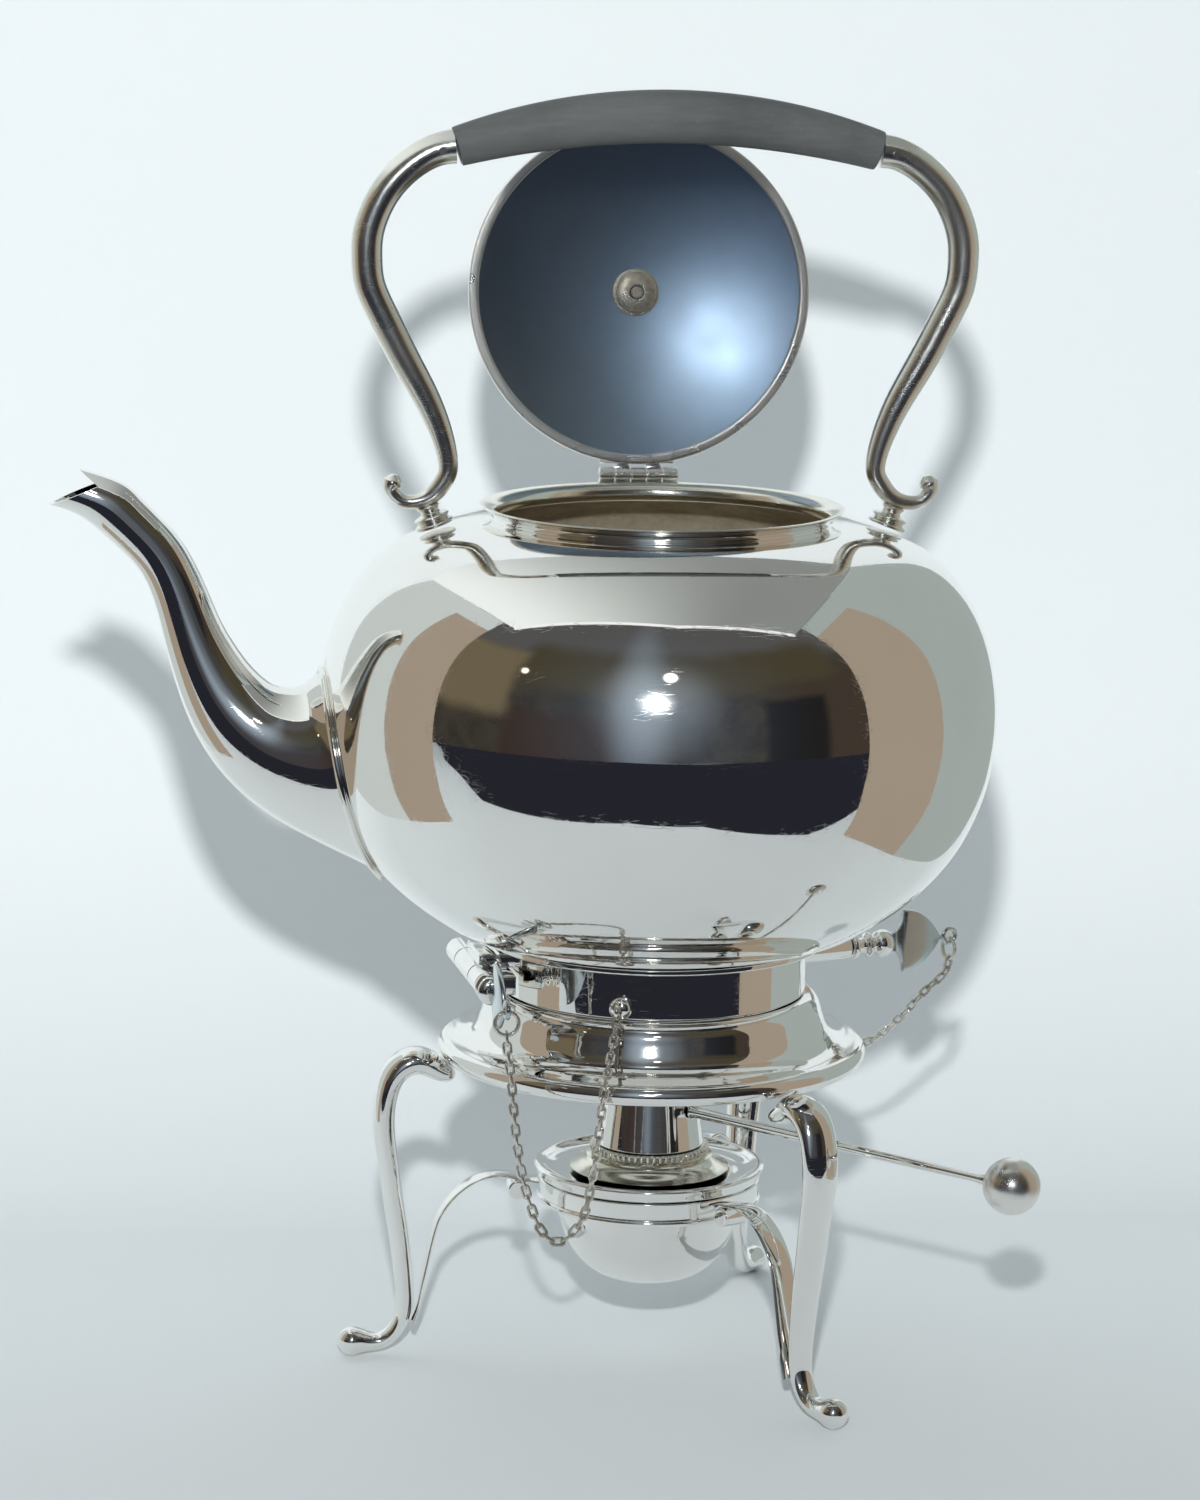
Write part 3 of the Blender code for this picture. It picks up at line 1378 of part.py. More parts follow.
def make_lid_hinge():
    knuckle = (LID_BARREL_LENGTH - GAP * (LID_KNUCKLES - 1)) / LID_KNUCKLES
    bore = cylinder(
        "lid_hinge_bore",
        LID_PIN_RADIUS + RUNNING_GAP,
        (-LID_BARREL_LENGTH, LID_HINGE_REACH, LID_HINGE_HEIGHT),
        (LID_BARREL_LENGTH, LID_HINGE_REACH, LID_HINGE_HEIGHT),
        TINY_STEPS,
    )
    bore = cut_ready(bore)
    half = LID_BARREL_LENGTH / 2
    plate_front = NECK_FOOT_RADIUS + GAP
    plate_back = LID_HINGE_REACH + LID_BARREL_RADIUS
    leaf_bottom = BODY_TOP + GAP
    leaf_top = LID_HINGE_HEIGHT - LID_BARREL_RADIUS - RUNNING_GAP
    fixed_leaf = box(
        "lid_leaf_fixed",
        (-half, plate_front, leaf_bottom),
        (half, plate_back, leaf_top),
    )
    tab_top = lid_height(LID_RADIUS) + GAP + LID_LEAF_WALL
    leaf_middle = LID_RADIUS - LID_LEAF_LENGTH / 2
    slope = math.atan(2 * LID_RISE * leaf_middle / LID_RADIUS**2)
    frame = Matrix.Rotation(-slope, 4, "X")
    frame.translation = (0, leaf_middle, lid_height(leaf_middle))
    swung_leaf = box(
        "lid_leaf_swung",
        (-half + BURIED, -LID_LEAF_LENGTH / 2, DOUBLE_GAP),
        (half - BURIED, LID_LEAF_LENGTH / 2, DOUBLE_GAP + LID_LEAF_WALL),
        frame,
    )
    for number in range(LID_KNUCKLES):
        start = -half + number * (knuckle + GAP)
        end = start + knuckle
        barrel = cylinder(
            f"lid_knuckle_{number + 1}",
            LID_BARREL_RADIUS,
            (start, LID_HINGE_REACH, LID_HINGE_HEIGHT),
            (end, LID_HINGE_REACH, LID_HINGE_HEIGHT),
            SMALL_STEPS,
        )
        if number % 2:
            middle_height = tab_top - LID_LEAF_WALL / 2
            arm_low = (start + KNUCKLE_INSET, LID_RADIUS + GAP, LID_HINGE_HEIGHT)
            arm_high = (end - KNUCKLE_INSET, LID_HINGE_REACH - KNUCKLE_INSET, middle_height)
            bridge = box(
                barrel.name + "_bridge",
                (start + GAP, LID_RADIUS - LID_LEAF_WALL, tab_top - LID_LEAF_WALL),
                (end - GAP, LID_HINGE_REACH, tab_top),
            )
            arm = box(barrel.name + "_arm", arm_low, arm_high)
            joined(swung_leaf, barrel, arm, bridge, parent=LID_AXIS)
        else:
            arm = box(
                barrel.name + "_arm",
                (start + KNUCKLE_INSET, plate_front, leaf_top - LID_BARREL_RADIUS / 2),
                (end - KNUCKLE_INSET, plate_back - KNUCKLE_INSET, LID_HINGE_HEIGHT),
            )
            joined(fixed_leaf, barrel, arm)
    finished(cut(fixed_leaf, bore), SILVER, TILT_AXIS)
    finished(cut(swung_leaf, bore), SILVER, LID_AXIS)
    pin = cylinder(
        "lid_hinge_pin",
        LID_PIN_RADIUS,
        (-half, LID_HINGE_REACH, LID_HINGE_HEIGHT),
        (half, LID_HINGE_REACH, LID_HINGE_HEIGHT),
        TINY_STEPS,
    )
    finished(pin, SILVER, TILT_AXIS)


def make_burner():
    outline = [
        (BOWL_RADIUS * r, BOWL_TOP - BOWL_DEPTH * (1 - z)) for r, z in BOWL_SHARES
    ]
    outline.append((0.0, BOWL_TOP - BOWL_DEPTH))
    bowl = turned_shell("burner_bowl", outline, BOWL_WALL, LARGE_STEPS)
    finished(bowl, SILVER, LIFT_AXIS)
    tube_outer = WICK_TUBE_RADIUS + GAP
    dish_floor = DISH_BOTTOM + DISH_HEIGHT * DISH_FLOOR_SHARE
    outline = [(DISH_RADIUS * r, DISH_BOTTOM + DISH_HEIGHT * z) for r, z in DISH_SHARES]
    outline += [(tube_outer, DISH_BOTTOM), (tube_outer, dish_floor)]
    finished(turned_ring("burner_dish", outline, LARGE_STEPS), SILVER, LIFT_AXIS)
    collar_bottom = dish_floor + GAP
    collar_top = SLEEVE_BOTTOM - GAP
    outline = [
        (COLLAR_RADIUS * r, between(collar_bottom, collar_top, z))
        for r, z in COLLAR_SHARES
    ]
    outline += [(tube_outer, collar_bottom), (tube_outer, collar_top)]
    finished(turned_ring("burner_collar", outline, MIDDLE_STEPS), WORN_SILVER, LIFT_AXIS)
    tube_top = SLEEVE_TOP - WICK_STANDOUT
    wick_tube = sleeve(
        "wick_tube",
        WICK_TUBE_RADIUS,
        WICK_TUBE_RADIUS - WICK_TUBE_WALL,
        (0, 0, DISH_BOTTOM),
        (0, 0, tube_top),
        SMALL_STEPS,
    )
    finished(wick_tube, WORN_SILVER, LIFT_AXIS)
    wick = cylinder(
        "wick",
        WICK_TUBE_RADIUS - WICK_TUBE_WALL - GAP,
        (0, 0, BOWL_TOP - BOWL_DEPTH / 2),
        (0, 0, tube_top + WICK_STANDOUT),
        SMALL_STEPS,
    )
    finished(wick, COTTON, LIFT_AXIS)
    outline = [
        (SLEEVE_TOP_RADIUS, SLEEVE_TOP),
        (SLEEVE_BOTTOM_RADIUS, SLEEVE_BOTTOM),
        (SLEEVE_BOTTOM_RADIUS - SLEEVE_WALL, SLEEVE_BOTTOM),
        (SLEEVE_TOP_RADIUS - SLEEVE_WALL, SLEEVE_TOP),
    ]
    finished(turned_ring("snuffer_sleeve", outline, MIDDLE_STEPS), SILVER, TURN_AXIS)
    share = (ROD_HEIGHT - SLEEVE_BOTTOM) / SLEEVE_HEIGHT
    sleeve_reach = between(SLEEVE_BOTTOM_RADIUS, SLEEVE_TOP_RADIUS, share)
    start = radial(ROD_AZIMUTH, sleeve_reach + ROD_START_CLEARANCE, ROD_HEIGHT)
    centre = radial(ROD_AZIMUTH, ROD_REACH, ROD_HEIGHT - ROD_DROP)
    end = centre - (centre - start).normalized() * (BALL_RADIUS + GAP)
    rod = cylinder("snuffer_rod", ROD_ROOT_RADIUS, start, end, SMALL_STEPS, ROD_TIP_RADIUS)
    finished(rod, SILVER, TURN_AXIS)
    finished(ball("snuffer_ball", BALL_RADIUS, centre, MIDDLE_STEPS), SILVER, TURN_AXIS)


def centre_over_origin():
    """Moves the whole object so that its middle stands over the origin."""
    bpy.context.view_layer.update()
    graph = bpy.context.evaluated_depsgraph_get()
    corners = []
    for obj in PARTS.objects:
        if obj.type == "EMPTY" or obj.name.endswith("_chain"):
            continue
        evaluated = obj.evaluated_get(graph)
        mesh = evaluated.to_mesh()
        corners += [evaluated.matrix_world @ vertex.co for vertex in mesh.vertices]
        evaluated.to_mesh_clear()
    low = Vector([min(corner[i] for corner in corners) for i in range(3)])
    high = Vector([max(corner[i] for corner in corners) for i in range(3)])
    middle = (low + high) / 2
    ROOT.location = (-middle.x, -middle.y, -low.z)


TILT_AXIS = new_empty(
    "tilt_axis", radial(HINGE_AZIMUTH, HINGE_REACH, HINGE_HEIGHT), ROOT
)
LID_AXIS = new_empty("lid_axis", (0, LID_HINGE_REACH, LID_HINGE_HEIGHT), TILT_AXIS)
LIFT_AXIS = new_empty("burner_lift", (0, 0, BOWL_TOP), ROOT)
TURN_AXIS = new_empty("snuffer_turn", (0, 0, SLEEVE_BOTTOM), LIFT_AXIS)

make_stand()
make_hinge()
make_pins()
make_lock()
make_eyelets()
make_chains()
make_body()
make_spout()
make_handle()
make_lid()
make_burner()
LID_AXIS.rotation_euler.x = -math.radians(LID_OPEN_ANGLE)
centre_over_origin()
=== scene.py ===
# %% [markdown]
# # A spirit kettle on its stand
#
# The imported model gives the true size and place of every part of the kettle. This file
# dresses it: round silver gets smooth skins that can carry sharp reflections, the chains
# get their links, and every piece gets a finish that is worked out from its own surface.
# The frame is loaded first, because everything else is set against it.

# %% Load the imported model
import math

import bmesh
import bpy
import numpy as np
from mathutils import Matrix, Vector


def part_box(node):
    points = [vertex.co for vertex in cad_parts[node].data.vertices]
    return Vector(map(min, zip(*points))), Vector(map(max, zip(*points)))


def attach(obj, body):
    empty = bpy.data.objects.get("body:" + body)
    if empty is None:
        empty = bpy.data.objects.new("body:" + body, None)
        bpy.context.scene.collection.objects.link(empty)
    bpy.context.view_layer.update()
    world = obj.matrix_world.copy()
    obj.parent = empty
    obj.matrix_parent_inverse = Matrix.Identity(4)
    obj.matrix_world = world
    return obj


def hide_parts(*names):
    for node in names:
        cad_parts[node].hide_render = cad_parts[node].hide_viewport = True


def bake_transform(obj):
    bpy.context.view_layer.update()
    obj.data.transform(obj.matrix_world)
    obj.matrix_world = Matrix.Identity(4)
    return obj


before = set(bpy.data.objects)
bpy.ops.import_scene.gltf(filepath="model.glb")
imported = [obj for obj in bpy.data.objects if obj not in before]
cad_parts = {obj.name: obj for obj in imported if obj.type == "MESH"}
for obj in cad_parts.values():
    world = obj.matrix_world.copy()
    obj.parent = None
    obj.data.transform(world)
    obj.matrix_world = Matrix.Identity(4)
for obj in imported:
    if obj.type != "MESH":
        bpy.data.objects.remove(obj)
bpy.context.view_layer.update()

# %% [markdown]
# The kettle, its stand and its burner are all turned round one upright axis, so every
# measure below is taken from that axis. The burner's holder is a plain ring on the same
# axis, and its box tells where the axis stands in the model.

# %% Find the upright axis
ring_low, ring_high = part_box("burner_holder")
AXIS = Vector(((ring_low.x + ring_high.x) / 2, (ring_low.y + ring_high.y) / 2, 0))
print("axis at x = %.2f mm, y = %.2f mm" % (1000 * AXIS.x, 1000 * AXIS.y))

# %% [markdown]
# The camera stands a little above the handle's height and looks slightly down, through a
# long lens, as for a product shot. A long lens keeps the lid and the toes in true
# proportion.

# %% Camera
camera = bpy.data.objects.new("camera", bpy.data.cameras.new("camera"))
camera.data.lens = 112.95
camera.data.sensor_width = 36.0
camera.data.clip_end = 50.0
camera.location = AXIS + Vector((-0.1674, -1.2159, 0.3976))
swing = Matrix.Rotation(math.radians(-7.13), 3, "Z")
tilt = Matrix.Rotation(math.radians(79.28), 3, "X")
roll = Matrix.Rotation(math.radians(1.03), 3, "Z")
camera.rotation_euler = (swing @ tilt @ roll).to_euler()
bpy.context.scene.collection.objects.link(camera)
bpy.context.scene.camera = camera
bpy.context.scene.view_settings.view_transform = "Standard"
print("camera to axis: %.2f m" % (camera.location - AXIS).length)

# %% [markdown]
# ## Tools for shapes
#
# Polished silver shows every flaw in a surface, so outlines are never left as a few
# straight steps. `eased` draws a curve that bends evenly through given points, which is
# what a spinner's template or a bent wire does. `edged` rounds true corners very slightly,
# because a real edge always catches a thin line of light.

# %% Curves and corners
def eased(points, each=8, firm=3):
    """A smooth curve through the points, with `each` steps from one to the next."""
    goal = np.array(points, float)
    held = goal.copy()
    for _ in range(firm):
        held[1:-1] += goal[1:-1] - (held[:-2] + 4 * held[1:-1] + held[2:]) / 6
    held = np.vstack([2 * held[0] - held[1], held, 2 * held[-1] - held[-2]])
    t = (np.arange(each) / each)[:, None]
    parts = []
    for a, b, c, d in zip(held, held[1:], held[2:], held[3:]):
        parts.append(
            ((1 - t) ** 3 * a + (3 * t**3 - 6 * t**2 + 4) * b
             + (3 * t**2 - 3 * t**3 + 3 * t + 1) * c + t**3 * d) / 6
        )
    return np.vstack(parts + [goal[-1:]])


def edged(outline, radius, looped=False, bends=4, least=25.0):
    """The outline with its sharp corners rounded, and points held close on both sides."""
    points = [np.array(point, float) for point in outline]
    count, made = len(points), []
    for i, point in enumerate(points):
        if not looped and i in (0, count - 1):
            made.append(point)
            continue
        before, after = points[i - 1] - point, points[(i + 1) % count] - point
        back, on = np.linalg.norm(before), np.linalg.norm(after)
        straight = -before.dot(after) / max(back * on, 1e-12)
        if math.degrees(math.acos(min(1.0, max(-1.0, straight)))) < least:
            made.append(point)
            continue
        reach = min(radius, 0.42 * back, 0.42 * on)
        start, end = point + before / back * reach, point + after / on * reach
        if back > 3 * reach:
            made.append(point + before / back * reach * 1.7)
        for i in range(bends + 1):
            t = i / bends
            made.append((1 - t) ** 2 * start + 2 * t * (1 - t) * point + t**2 * end)
        if on > 3 * reach:
            made.append(point + after / on * reach * 1.7)
    return np.array(made)


print("curve check:", eased([(0, 0), (1, 1), (2, 0)], 2).round(2).tolist())

# %% [markdown]
# Every shape is a pair: points, and the faces between them. A turned piece is an outline
# carried round an axis, a swept piece is a row of ovals along a path. A list of shapes
# becomes one mesh, and a mesh can have more than one finish.

# %% Shapes made of rings
def ring_of(centre, across, side, sides):
    """Points round an oval that has the half axes `across` and `side`."""
    turns = np.linspace(0, 2 * math.pi, sides, endpoint=False)[:, None]
    return np.array(centre) + np.cos(turns) * np.array(across) + np.sin(turns) * np.array(side)


def skin(rings, looped=False, capped=True):
    """Faces between rings that have as many points each."""
    rings = np.array(rings)
    count, sides = rings.shape[:2]
    grid = np.arange(count * sides).reshape(count, sides)
    if looped:
        grid = np.vstack([grid, grid[:1]])
    a, b = grid[:-1], grid[1:]
    faces = np.stack([a, np.roll(a, -1, 1), np.roll(b, -1, 1), b], -1).reshape(-1, 4).tolist()
    if capped and not looped:
        faces += [grid[0][::-1].tolist(), grid[-1].tolist()]
    return rings.reshape(-1, 3), faces


def turned(
    outline, steps=96, looped=False, at=(0, 0, 0), along=(0, 0, 1), flutes=None, capped=False
):
    """An outline of (radius, height) carried round an axis."""
    turns = np.linspace(0, 2 * math.pi, steps, endpoint=False)
    rings = []
    for i, (radius, height) in enumerate(outline):
        reach = np.full(steps, radius)
        if flutes and flutes[2] <= i < flutes[3]:
            reach = radius - flutes[1] * (0.5 + 0.5 * np.cos(turns * flutes[0])) ** 2
        rings.append(
            np.stack([reach * np.cos(turns), reach * np.sin(turns), np.full(steps, height)], -1)
        )
    points, faces = skin(rings, looped, capped)
    frame_of = np.array(Vector(along).to_track_quat("Z", "Y").to_matrix())
    return points @ frame_of.T + np.array(at), faces


def swept(centres, halves, wides, flat, sides=24, looped=False):
    """Ovals along a path: `wides` lie along the direction `flat`, `halves` square to it."""
    centres, flat = np.array(centres), np.array(flat, float)
    ahead = np.gradient(centres, axis=0)
    across = np.cross(ahead, flat)
    across /= np.linalg.norm(across, axis=1)[:, None]
    rings = [
        ring_of(c, a * h, flat * w, sides) for c, a, h, w in zip(centres, across, halves, wides)
    ]
    return skin(rings, looped)


def hollow_bar(inner, outer, low, high, edge):
    """The closed outline of a plain ring with softened corners."""
    return edged([(inner, low), (outer, low), (outer, high), (inner, high)], edge, True)


def solid_bar(radius, low, high, edge):
    """The outline of a plain round bar with softened ends."""
    return edged([(0, low), (radius, low), (radius, high), (0, high)], edge)


def hoop(radius, wire, at, along, steps=40, sides=14):
    """A ring of round wire."""
    turns = np.linspace(0, 2 * math.pi, sides, endpoint=False)
    outline = [(radius + wire * math.cos(a), wire * math.sin(a)) for a in turns]
    return turned(outline, steps, True, at, along)


def block(low, high, turn=None, edge=0.0004):
    """A block with rounded edges, given by two corners in the axes of `turn`."""
    shape = bmesh.new()
    bmesh.ops.create_cube(shape, size=1.0)
    for vertex in shape.verts:
        for i in range(3):
            vertex.co[i] = low[i] + (high[i] - low[i]) * (vertex.co[i] + 0.5)
    bmesh.ops.bevel(
        shape, geom=shape.edges[:], offset=edge, segments=3, profile=0.5, affect="EDGES"
    )
    shape.transform(turn or Matrix())
    points = np.array([vertex.co[:] for vertex in shape.verts])
    faces = [[vertex.index for vertex in face.verts] for face in shape.faces]
    shape.free()
    return points, faces


def moved(shape, matrix):
    """A shape after a turn or a shift."""
    matrix = np.array(matrix)
    return shape[0] @ matrix[:3, :3].T + matrix[:3, 3], shape[1]


def bearing(azimuth):
    """Axes that point away from the kettle's axis, along the tangent, and up."""
    return Matrix.Rotation(math.radians(azimuth), 4, "Z")


def tangent_at(azimuth):
    return np.array(bearing(azimuth))[:3, 1]


def radial(azimuth, reach, height):
    angle = math.radians(azimuth)
    return np.array((reach * math.cos(angle), reach * math.sin(angle), height))


print("a hoop has", len(hoop(0.01, 0.001, (0, 0, 0), (0, 0, 1))[1]), "faces")

# %% [markdown]
# A piece is finished in three moves: its shapes are joined into a mesh, the mesh gets its
# finishes, and it is seated on the body that carries it, in place of the plain solids.

# %% Joining and seating
def made_of(name, shapes, *finishes, sharp=38.0):
    """One mesh of several shapes, placed about the kettle's axis."""
    points, faces, kinds, count = [], [], [], 0
    for shape in shapes:
        points.append(np.array(shape[0]))
        faces += [[count + i for i in face] for face in shape[1]]
        kinds += [shape[2] if len(shape) > 2 else 0] * len(shape[1])
        count += len(shape[0])
    mesh = bpy.data.meshes.new(name)
    mesh.from_pydata((np.vstack(points) + np.array(AXIS)).tolist(), [], faces)
    mesh.polygons.foreach_set("material_index", kinds)
    shape = bmesh.new()
    shape.from_mesh(mesh)
    bmesh.ops.remove_doubles(shape, verts=shape.verts, dist=1e-7)
    bmesh.ops.recalc_face_normals(shape, faces=shape.faces)
    shape.to_mesh(mesh)
    shape.free()
    for finish in finishes:
        mesh.materials.append(finish)
    obj = bpy.data.objects.new(name, mesh)
    bpy.context.scene.collection.objects.link(obj)
    return sharpened(obj, sharp)


def sharpened(obj, sharp=38.0):
    """Smooth shading, apart from edges that bend by more than this angle."""
    obj.data.shade_smooth()
    obj.data.set_sharp_from_angle(angle=math.radians(sharp))
    return obj


def carved(obj, cutter, operation="DIFFERENCE", sharp=38.0):
    """Cuts one piece with another, and keeps the result as a plain mesh."""
    change = obj.modifiers.new("carve", "BOOLEAN")
    change.operation = operation
    change.solver = "EXACT"
    change.object = cutter
    bpy.context.view_layer.update()
    graph = bpy.context.evaluated_depsgraph_get()
    mesh = bpy.data.meshes.new_from_object(obj.evaluated_get(graph))
    obj.modifiers.clear()
    obj.data = mesh
    bpy.data.objects.remove(cutter)
    return sharpened(obj, sharp)


def seated(obj, body, slot, *nodes):
    """Puts a piece on its body, in place of the plain solids that it stands for."""
    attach(obj, body)
    if nodes:
        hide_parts(*nodes)
    print(obj.name, len(obj.data.polygons), "faces on", body)
    return obj


# %% [markdown]
# ## Tools for finishes
#
# A finish is a small sum over the surface: noise, lines and masks that end in a colour, a
# roughness or a bump. Writing such sums as Python expressions keeps them readable, so one
# class wraps a socket and knows how to add, subtract, multiply and divide.

# %% Shader maths
class Wire:
    """A socket in a material, which can be used in sums."""

    def __init__(self, tree, socket=None):
        self.tree = tree
        self.socket = socket

    def node(self, kind, settings=None, inputs=None, output=0):
        """Any node: its settings come first, then the values or wires of its sockets."""
        node = self.tree.nodes.new(kind)
        for key, value in (settings or {}).items():
            if key == "stops":
                self.set_stops(node.color_ramp.elements, value)
            else:
                setattr(node, key, value)
        for key, value in (inputs or {}).items():
            if isinstance(value, Wire):
                self.tree.links.new(value.socket, node.inputs[key])
            else:
                node.inputs[key].default_value = value
        return Wire(self.tree, node.outputs[output])

    @staticmethod
    def set_stops(elements, stops):
        while len(elements) < len(stops):
            elements.new(0.5)
        for element, (place, colour) in zip(elements, stops):
            element.position = place
            element.color = colour

    def sum_of(self, operation, first, second=0.0):
        return self.node("ShaderNodeMath", {"operation": operation}, {0: first, 1: second})

    def __add__(self, other):
        return self.sum_of("ADD", self, other)

    __radd__ = __add__

    def __sub__(self, other):
        return self.sum_of("SUBTRACT", self, other)

    def __rsub__(self, other):
        return self.sum_of("SUBTRACT", other, self)

    def __mul__(self, other):
        return self.sum_of("MULTIPLY", self, other)

    __rmul__ = __mul__

    def __pow__(self, other):
        return self.sum_of("POWER", self, other)

    def __abs__(self):
        return self.sum_of("ABSOLUTE", self)

    def between(self, low, high):
        """0 below `low`, 1 above `high` and smooth in between."""
        return self.node(
            "ShaderNodeMapRange",
            {"interpolation_type": "SMOOTHSTEP"},
            {"Value": self, "From Min": low, "From Max": high},
        )

    def part(self, number):
        """One of the three numbers of a place."""
        return self.node("ShaderNodeSeparateXYZ", {}, {0: self}, output=number)

    def tinted(self, low, high):
        """A colour between two, by this wire's value."""
        return self.node(
            "ShaderNodeMix",
            {"data_type": "RGBA"},
            {"Factor": self, 6: (*low, 1.0), 7: (*high, 1.0)},
            output=2,
        )


def new_finish(name):
    """A new material: its start for wires, and its main shader."""
    finish = bpy.data.materials.new(name)
    finish.use_nodes = True
    shader = finish.node_tree.nodes["Principled BSDF"]
    return finish, Wire(finish.node_tree), shader


def object_place(start):
    """Where on the piece a point lies, so that marks stay on the piece when it moves."""
    return start.node("ShaderNodeTexCoord", output="Object")


def feed(start, shader, **values):
    """Joins wires, or sets plain values, on the shader's sockets."""
    for key, value in values.items():
        socket = shader.inputs[key.replace("_", " ")]
        if isinstance(value, Wire):
            start.tree.links.new(value.socket, socket)
        else:
            socket.default_value = value


def noise(place, scale, detail=2.0, roughness=0.5, output="Fac"):
    return place.node(
        "ShaderNodeTexNoise",
        {},
        {"Vector": place, "Scale": scale, "Detail": detail, "Roughness": roughness},
        output,
    )


print("finishes are written as sums of wires")

# %% [markdown]
# Silver that has been polished by hand for years has three layers of marks: a faint haze
# of wiping, hairline scratches in all directions, and a very slow wave in the sheet from
# the hammer. The scratches are contour lines of a stretched noise: each is a long shallow
# arc, broken up by a second noise, at a width that light can still catch.

# %% Marks on silver
def hairlines(place, turn, scale, width):
    """Long thin arcs along one direction."""
    laid = place.node(
        "ShaderNodeMapping",
        {},
        {"Vector": place, "Rotation": turn, "Scale": (scale, scale * 9.0, scale * 9.0)},
    )
    field = noise(laid, 1.0, 1.0)
    line = 1.0 - abs(field - 0.5).between(0.0, width)
    broken = noise(place, scale * 2.3, 2.0).between(0.48, 0.62)
    return line * broken


def scratches(place, width=0.012):
    first = hairlines(place, (0.4, 0.9, 0.3), 44.0, width)
    second = hairlines(place, (1.3, 0.2, 1.9), 58.0, width)
    third = hairlines(place, (2.2, 1.1, 0.8), 76.0, width)
    return first + second + third


def bumped(height, strength, distance, normal=None):
    inputs = {"Height": height, "Strength": strength, "Distance": distance}
    if normal:
        inputs["Normal"] = normal
    return height.node("ShaderNodeBump", {}, inputs)


print("marks: haze, hairlines and a slow wave")

# %% [markdown]
# Polished silver is nearly all reflection, so its colour is close to white with a little
# warmth, and its roughness is low. Tarnish gathers where the cloth doesn't reach, so a
# second silver is browner and duller, for the burner's fittings and the kettle's inside.
# The handle's arms, the lid's hinge and the pins' wings are duller than the body, so they
# have finishes of their own. The wings' silver is also tinted dark blue-grey, a painted
# reflection of the room.

# %% Silver finishes
def silver_finish(name, colour, dull, roughness, marks, wave=0.00006):
    finish, start, shader = new_finish(name)
    place = object_place(start)
    haze = noise(place, 22.0, 4.0, 0.6)
    cloud = noise(place, 7.0, 2.0)
    lines = scratches(place)
    tint = haze.between(0.35, 0.75).tinted(colour, dull)
    rough = roughness + haze.between(0.4, 0.8) * roughness + lines * 0.05
    slow = bumped(cloud, 1.0, wave)
    fine = bumped(lines, marks, 0.000005, slow)
    feed(start, shader, Base_Color=tint, Roughness=rough, Metallic=1.0, Normal=fine)
    return finish


bright_silver = silver_finish(
    "bright_silver", (0.93, 0.92, 0.895), (0.90, 0.885, 0.85), 0.028, 0.35
)
plain_silver = silver_finish(
    "plain_silver", (0.91, 0.90, 0.87), (0.86, 0.84, 0.79), 0.05, 0.35
)
warm_silver = silver_finish("warm_silver", (0.93, 0.91, 0.83), (0.84, 0.80, 0.68), 0.14, 0.35)
satin_silver = silver_finish(
    "satin_silver", (0.95, 0.935, 0.88), (0.87, 0.85, 0.77), 0.21, 0.35, 0.00012
)
hinge_silver = silver_finish("hinge_silver", (0.94, 0.93, 0.90), (0.86, 0.84, 0.79), 0.24, 0.35)
# Painted reflection: the wings' dark blue-grey tint stands for the room they reflect.
wing_silver_painted_reflection = silver_finish(
    "wing_silver_painted_reflection", (0.66, 0.72, 0.75), (0.50, 0.54, 0.54), 0.17, 0.35, 0.00012
)
print("silver finishes:", bright_silver.name, plain_silver.name, warm_silver.name)

# %% Tarnished silver
def tarnish_finish(name, clean, dark, roughness, metal=0.9):
    finish, start, shader = new_finish(name)
    place = object_place(start)
    patches = noise(place, 38.0, 6.0, 0.65)
    specks = noise(place, 420.0, 3.0, 0.6)
    stain = (patches * 0.75 + specks * 0.35).between(0.40, 0.72)
    tint = stain.tinted(clean, dark)
    rough = roughness + stain * 0.22
    fine = bumped(specks + patches, 0.5, 0.00012)
    feed(start, shader, Base_Color=tint, Roughness=rough, Metallic=metal, Normal=fine)
    return finish


inside_silver = tarnish_finish("inside_silver", (0.72, 0.65, 0.51), (0.52, 0.455, 0.335), 0.42, 0.4)
fitting_silver = tarnish_finish("fitting_silver", (0.66, 0.63, 0.55), (0.38, 0.34, 0.26), 0.22)
link_silver = tarnish_finish("link_silver", (0.74, 0.72, 0.67), (0.40, 0.37, 0.31), 0.16)
print("tarnished finishes:", inside_silver.name, fitting_silver.name, link_silver.name)

# %% [markdown]
# The inside of the lid is wiped in circles round its nut, so its marks run in rings. Rings
# are a noise of one number, the distance from the lid's middle, and they smear a highlight
# outwards as brushed metal does. The tint is dark and cool, as the picture shows it: a
# painted reflection of the dark, bluish room that the lid faces, laid into the silver's colour.

# %% Lid's inner finish
def wiped_round(name, middle):
    finish, start, shader = new_finish(name)
    place = object_place(start)
    away = place.node(
        "ShaderNodeVectorMath",
        {"operation": "DISTANCE"},
        {0: place, 1: tuple(middle)},
        output="Value",
    )
    rings = place.node(
        "ShaderNodeTexNoise",
        {"noise_dimensions": "1D"},
        {"W": away, "Scale": 2600.0, "Detail": 3.0},
        "Fac",
    )
    haze = noise(place, 30.0, 4.0, 0.6)
    lines = scratches(place, 0.010)
    # Painted reflection: a dark, cool tint that stands for the bluish room the lid faces.
    tint = haze.between(0.35, 0.75).tinted((0.43, 0.58, 0.77), (0.39, 0.51, 0.67))
    rough = 0.29 + haze.between(0.35, 0.75) * 0.05 + lines * 0.04
    soft = bumped(rings, 0.08, 0.00003)
    fine = bumped(lines, 0.3, 0.000006, soft)
    feed(start, shader, Base_Color=tint, Roughness=rough, Metallic=1.0, Normal=fine)
    return finish


print("the lid's finish is made once its middle is known")

# %% [markdown]
# The grip is dark wood under an old satin polish. It reads as charcoal, with a soft sheen
# on its top, and a fine open grain that runs along its length.

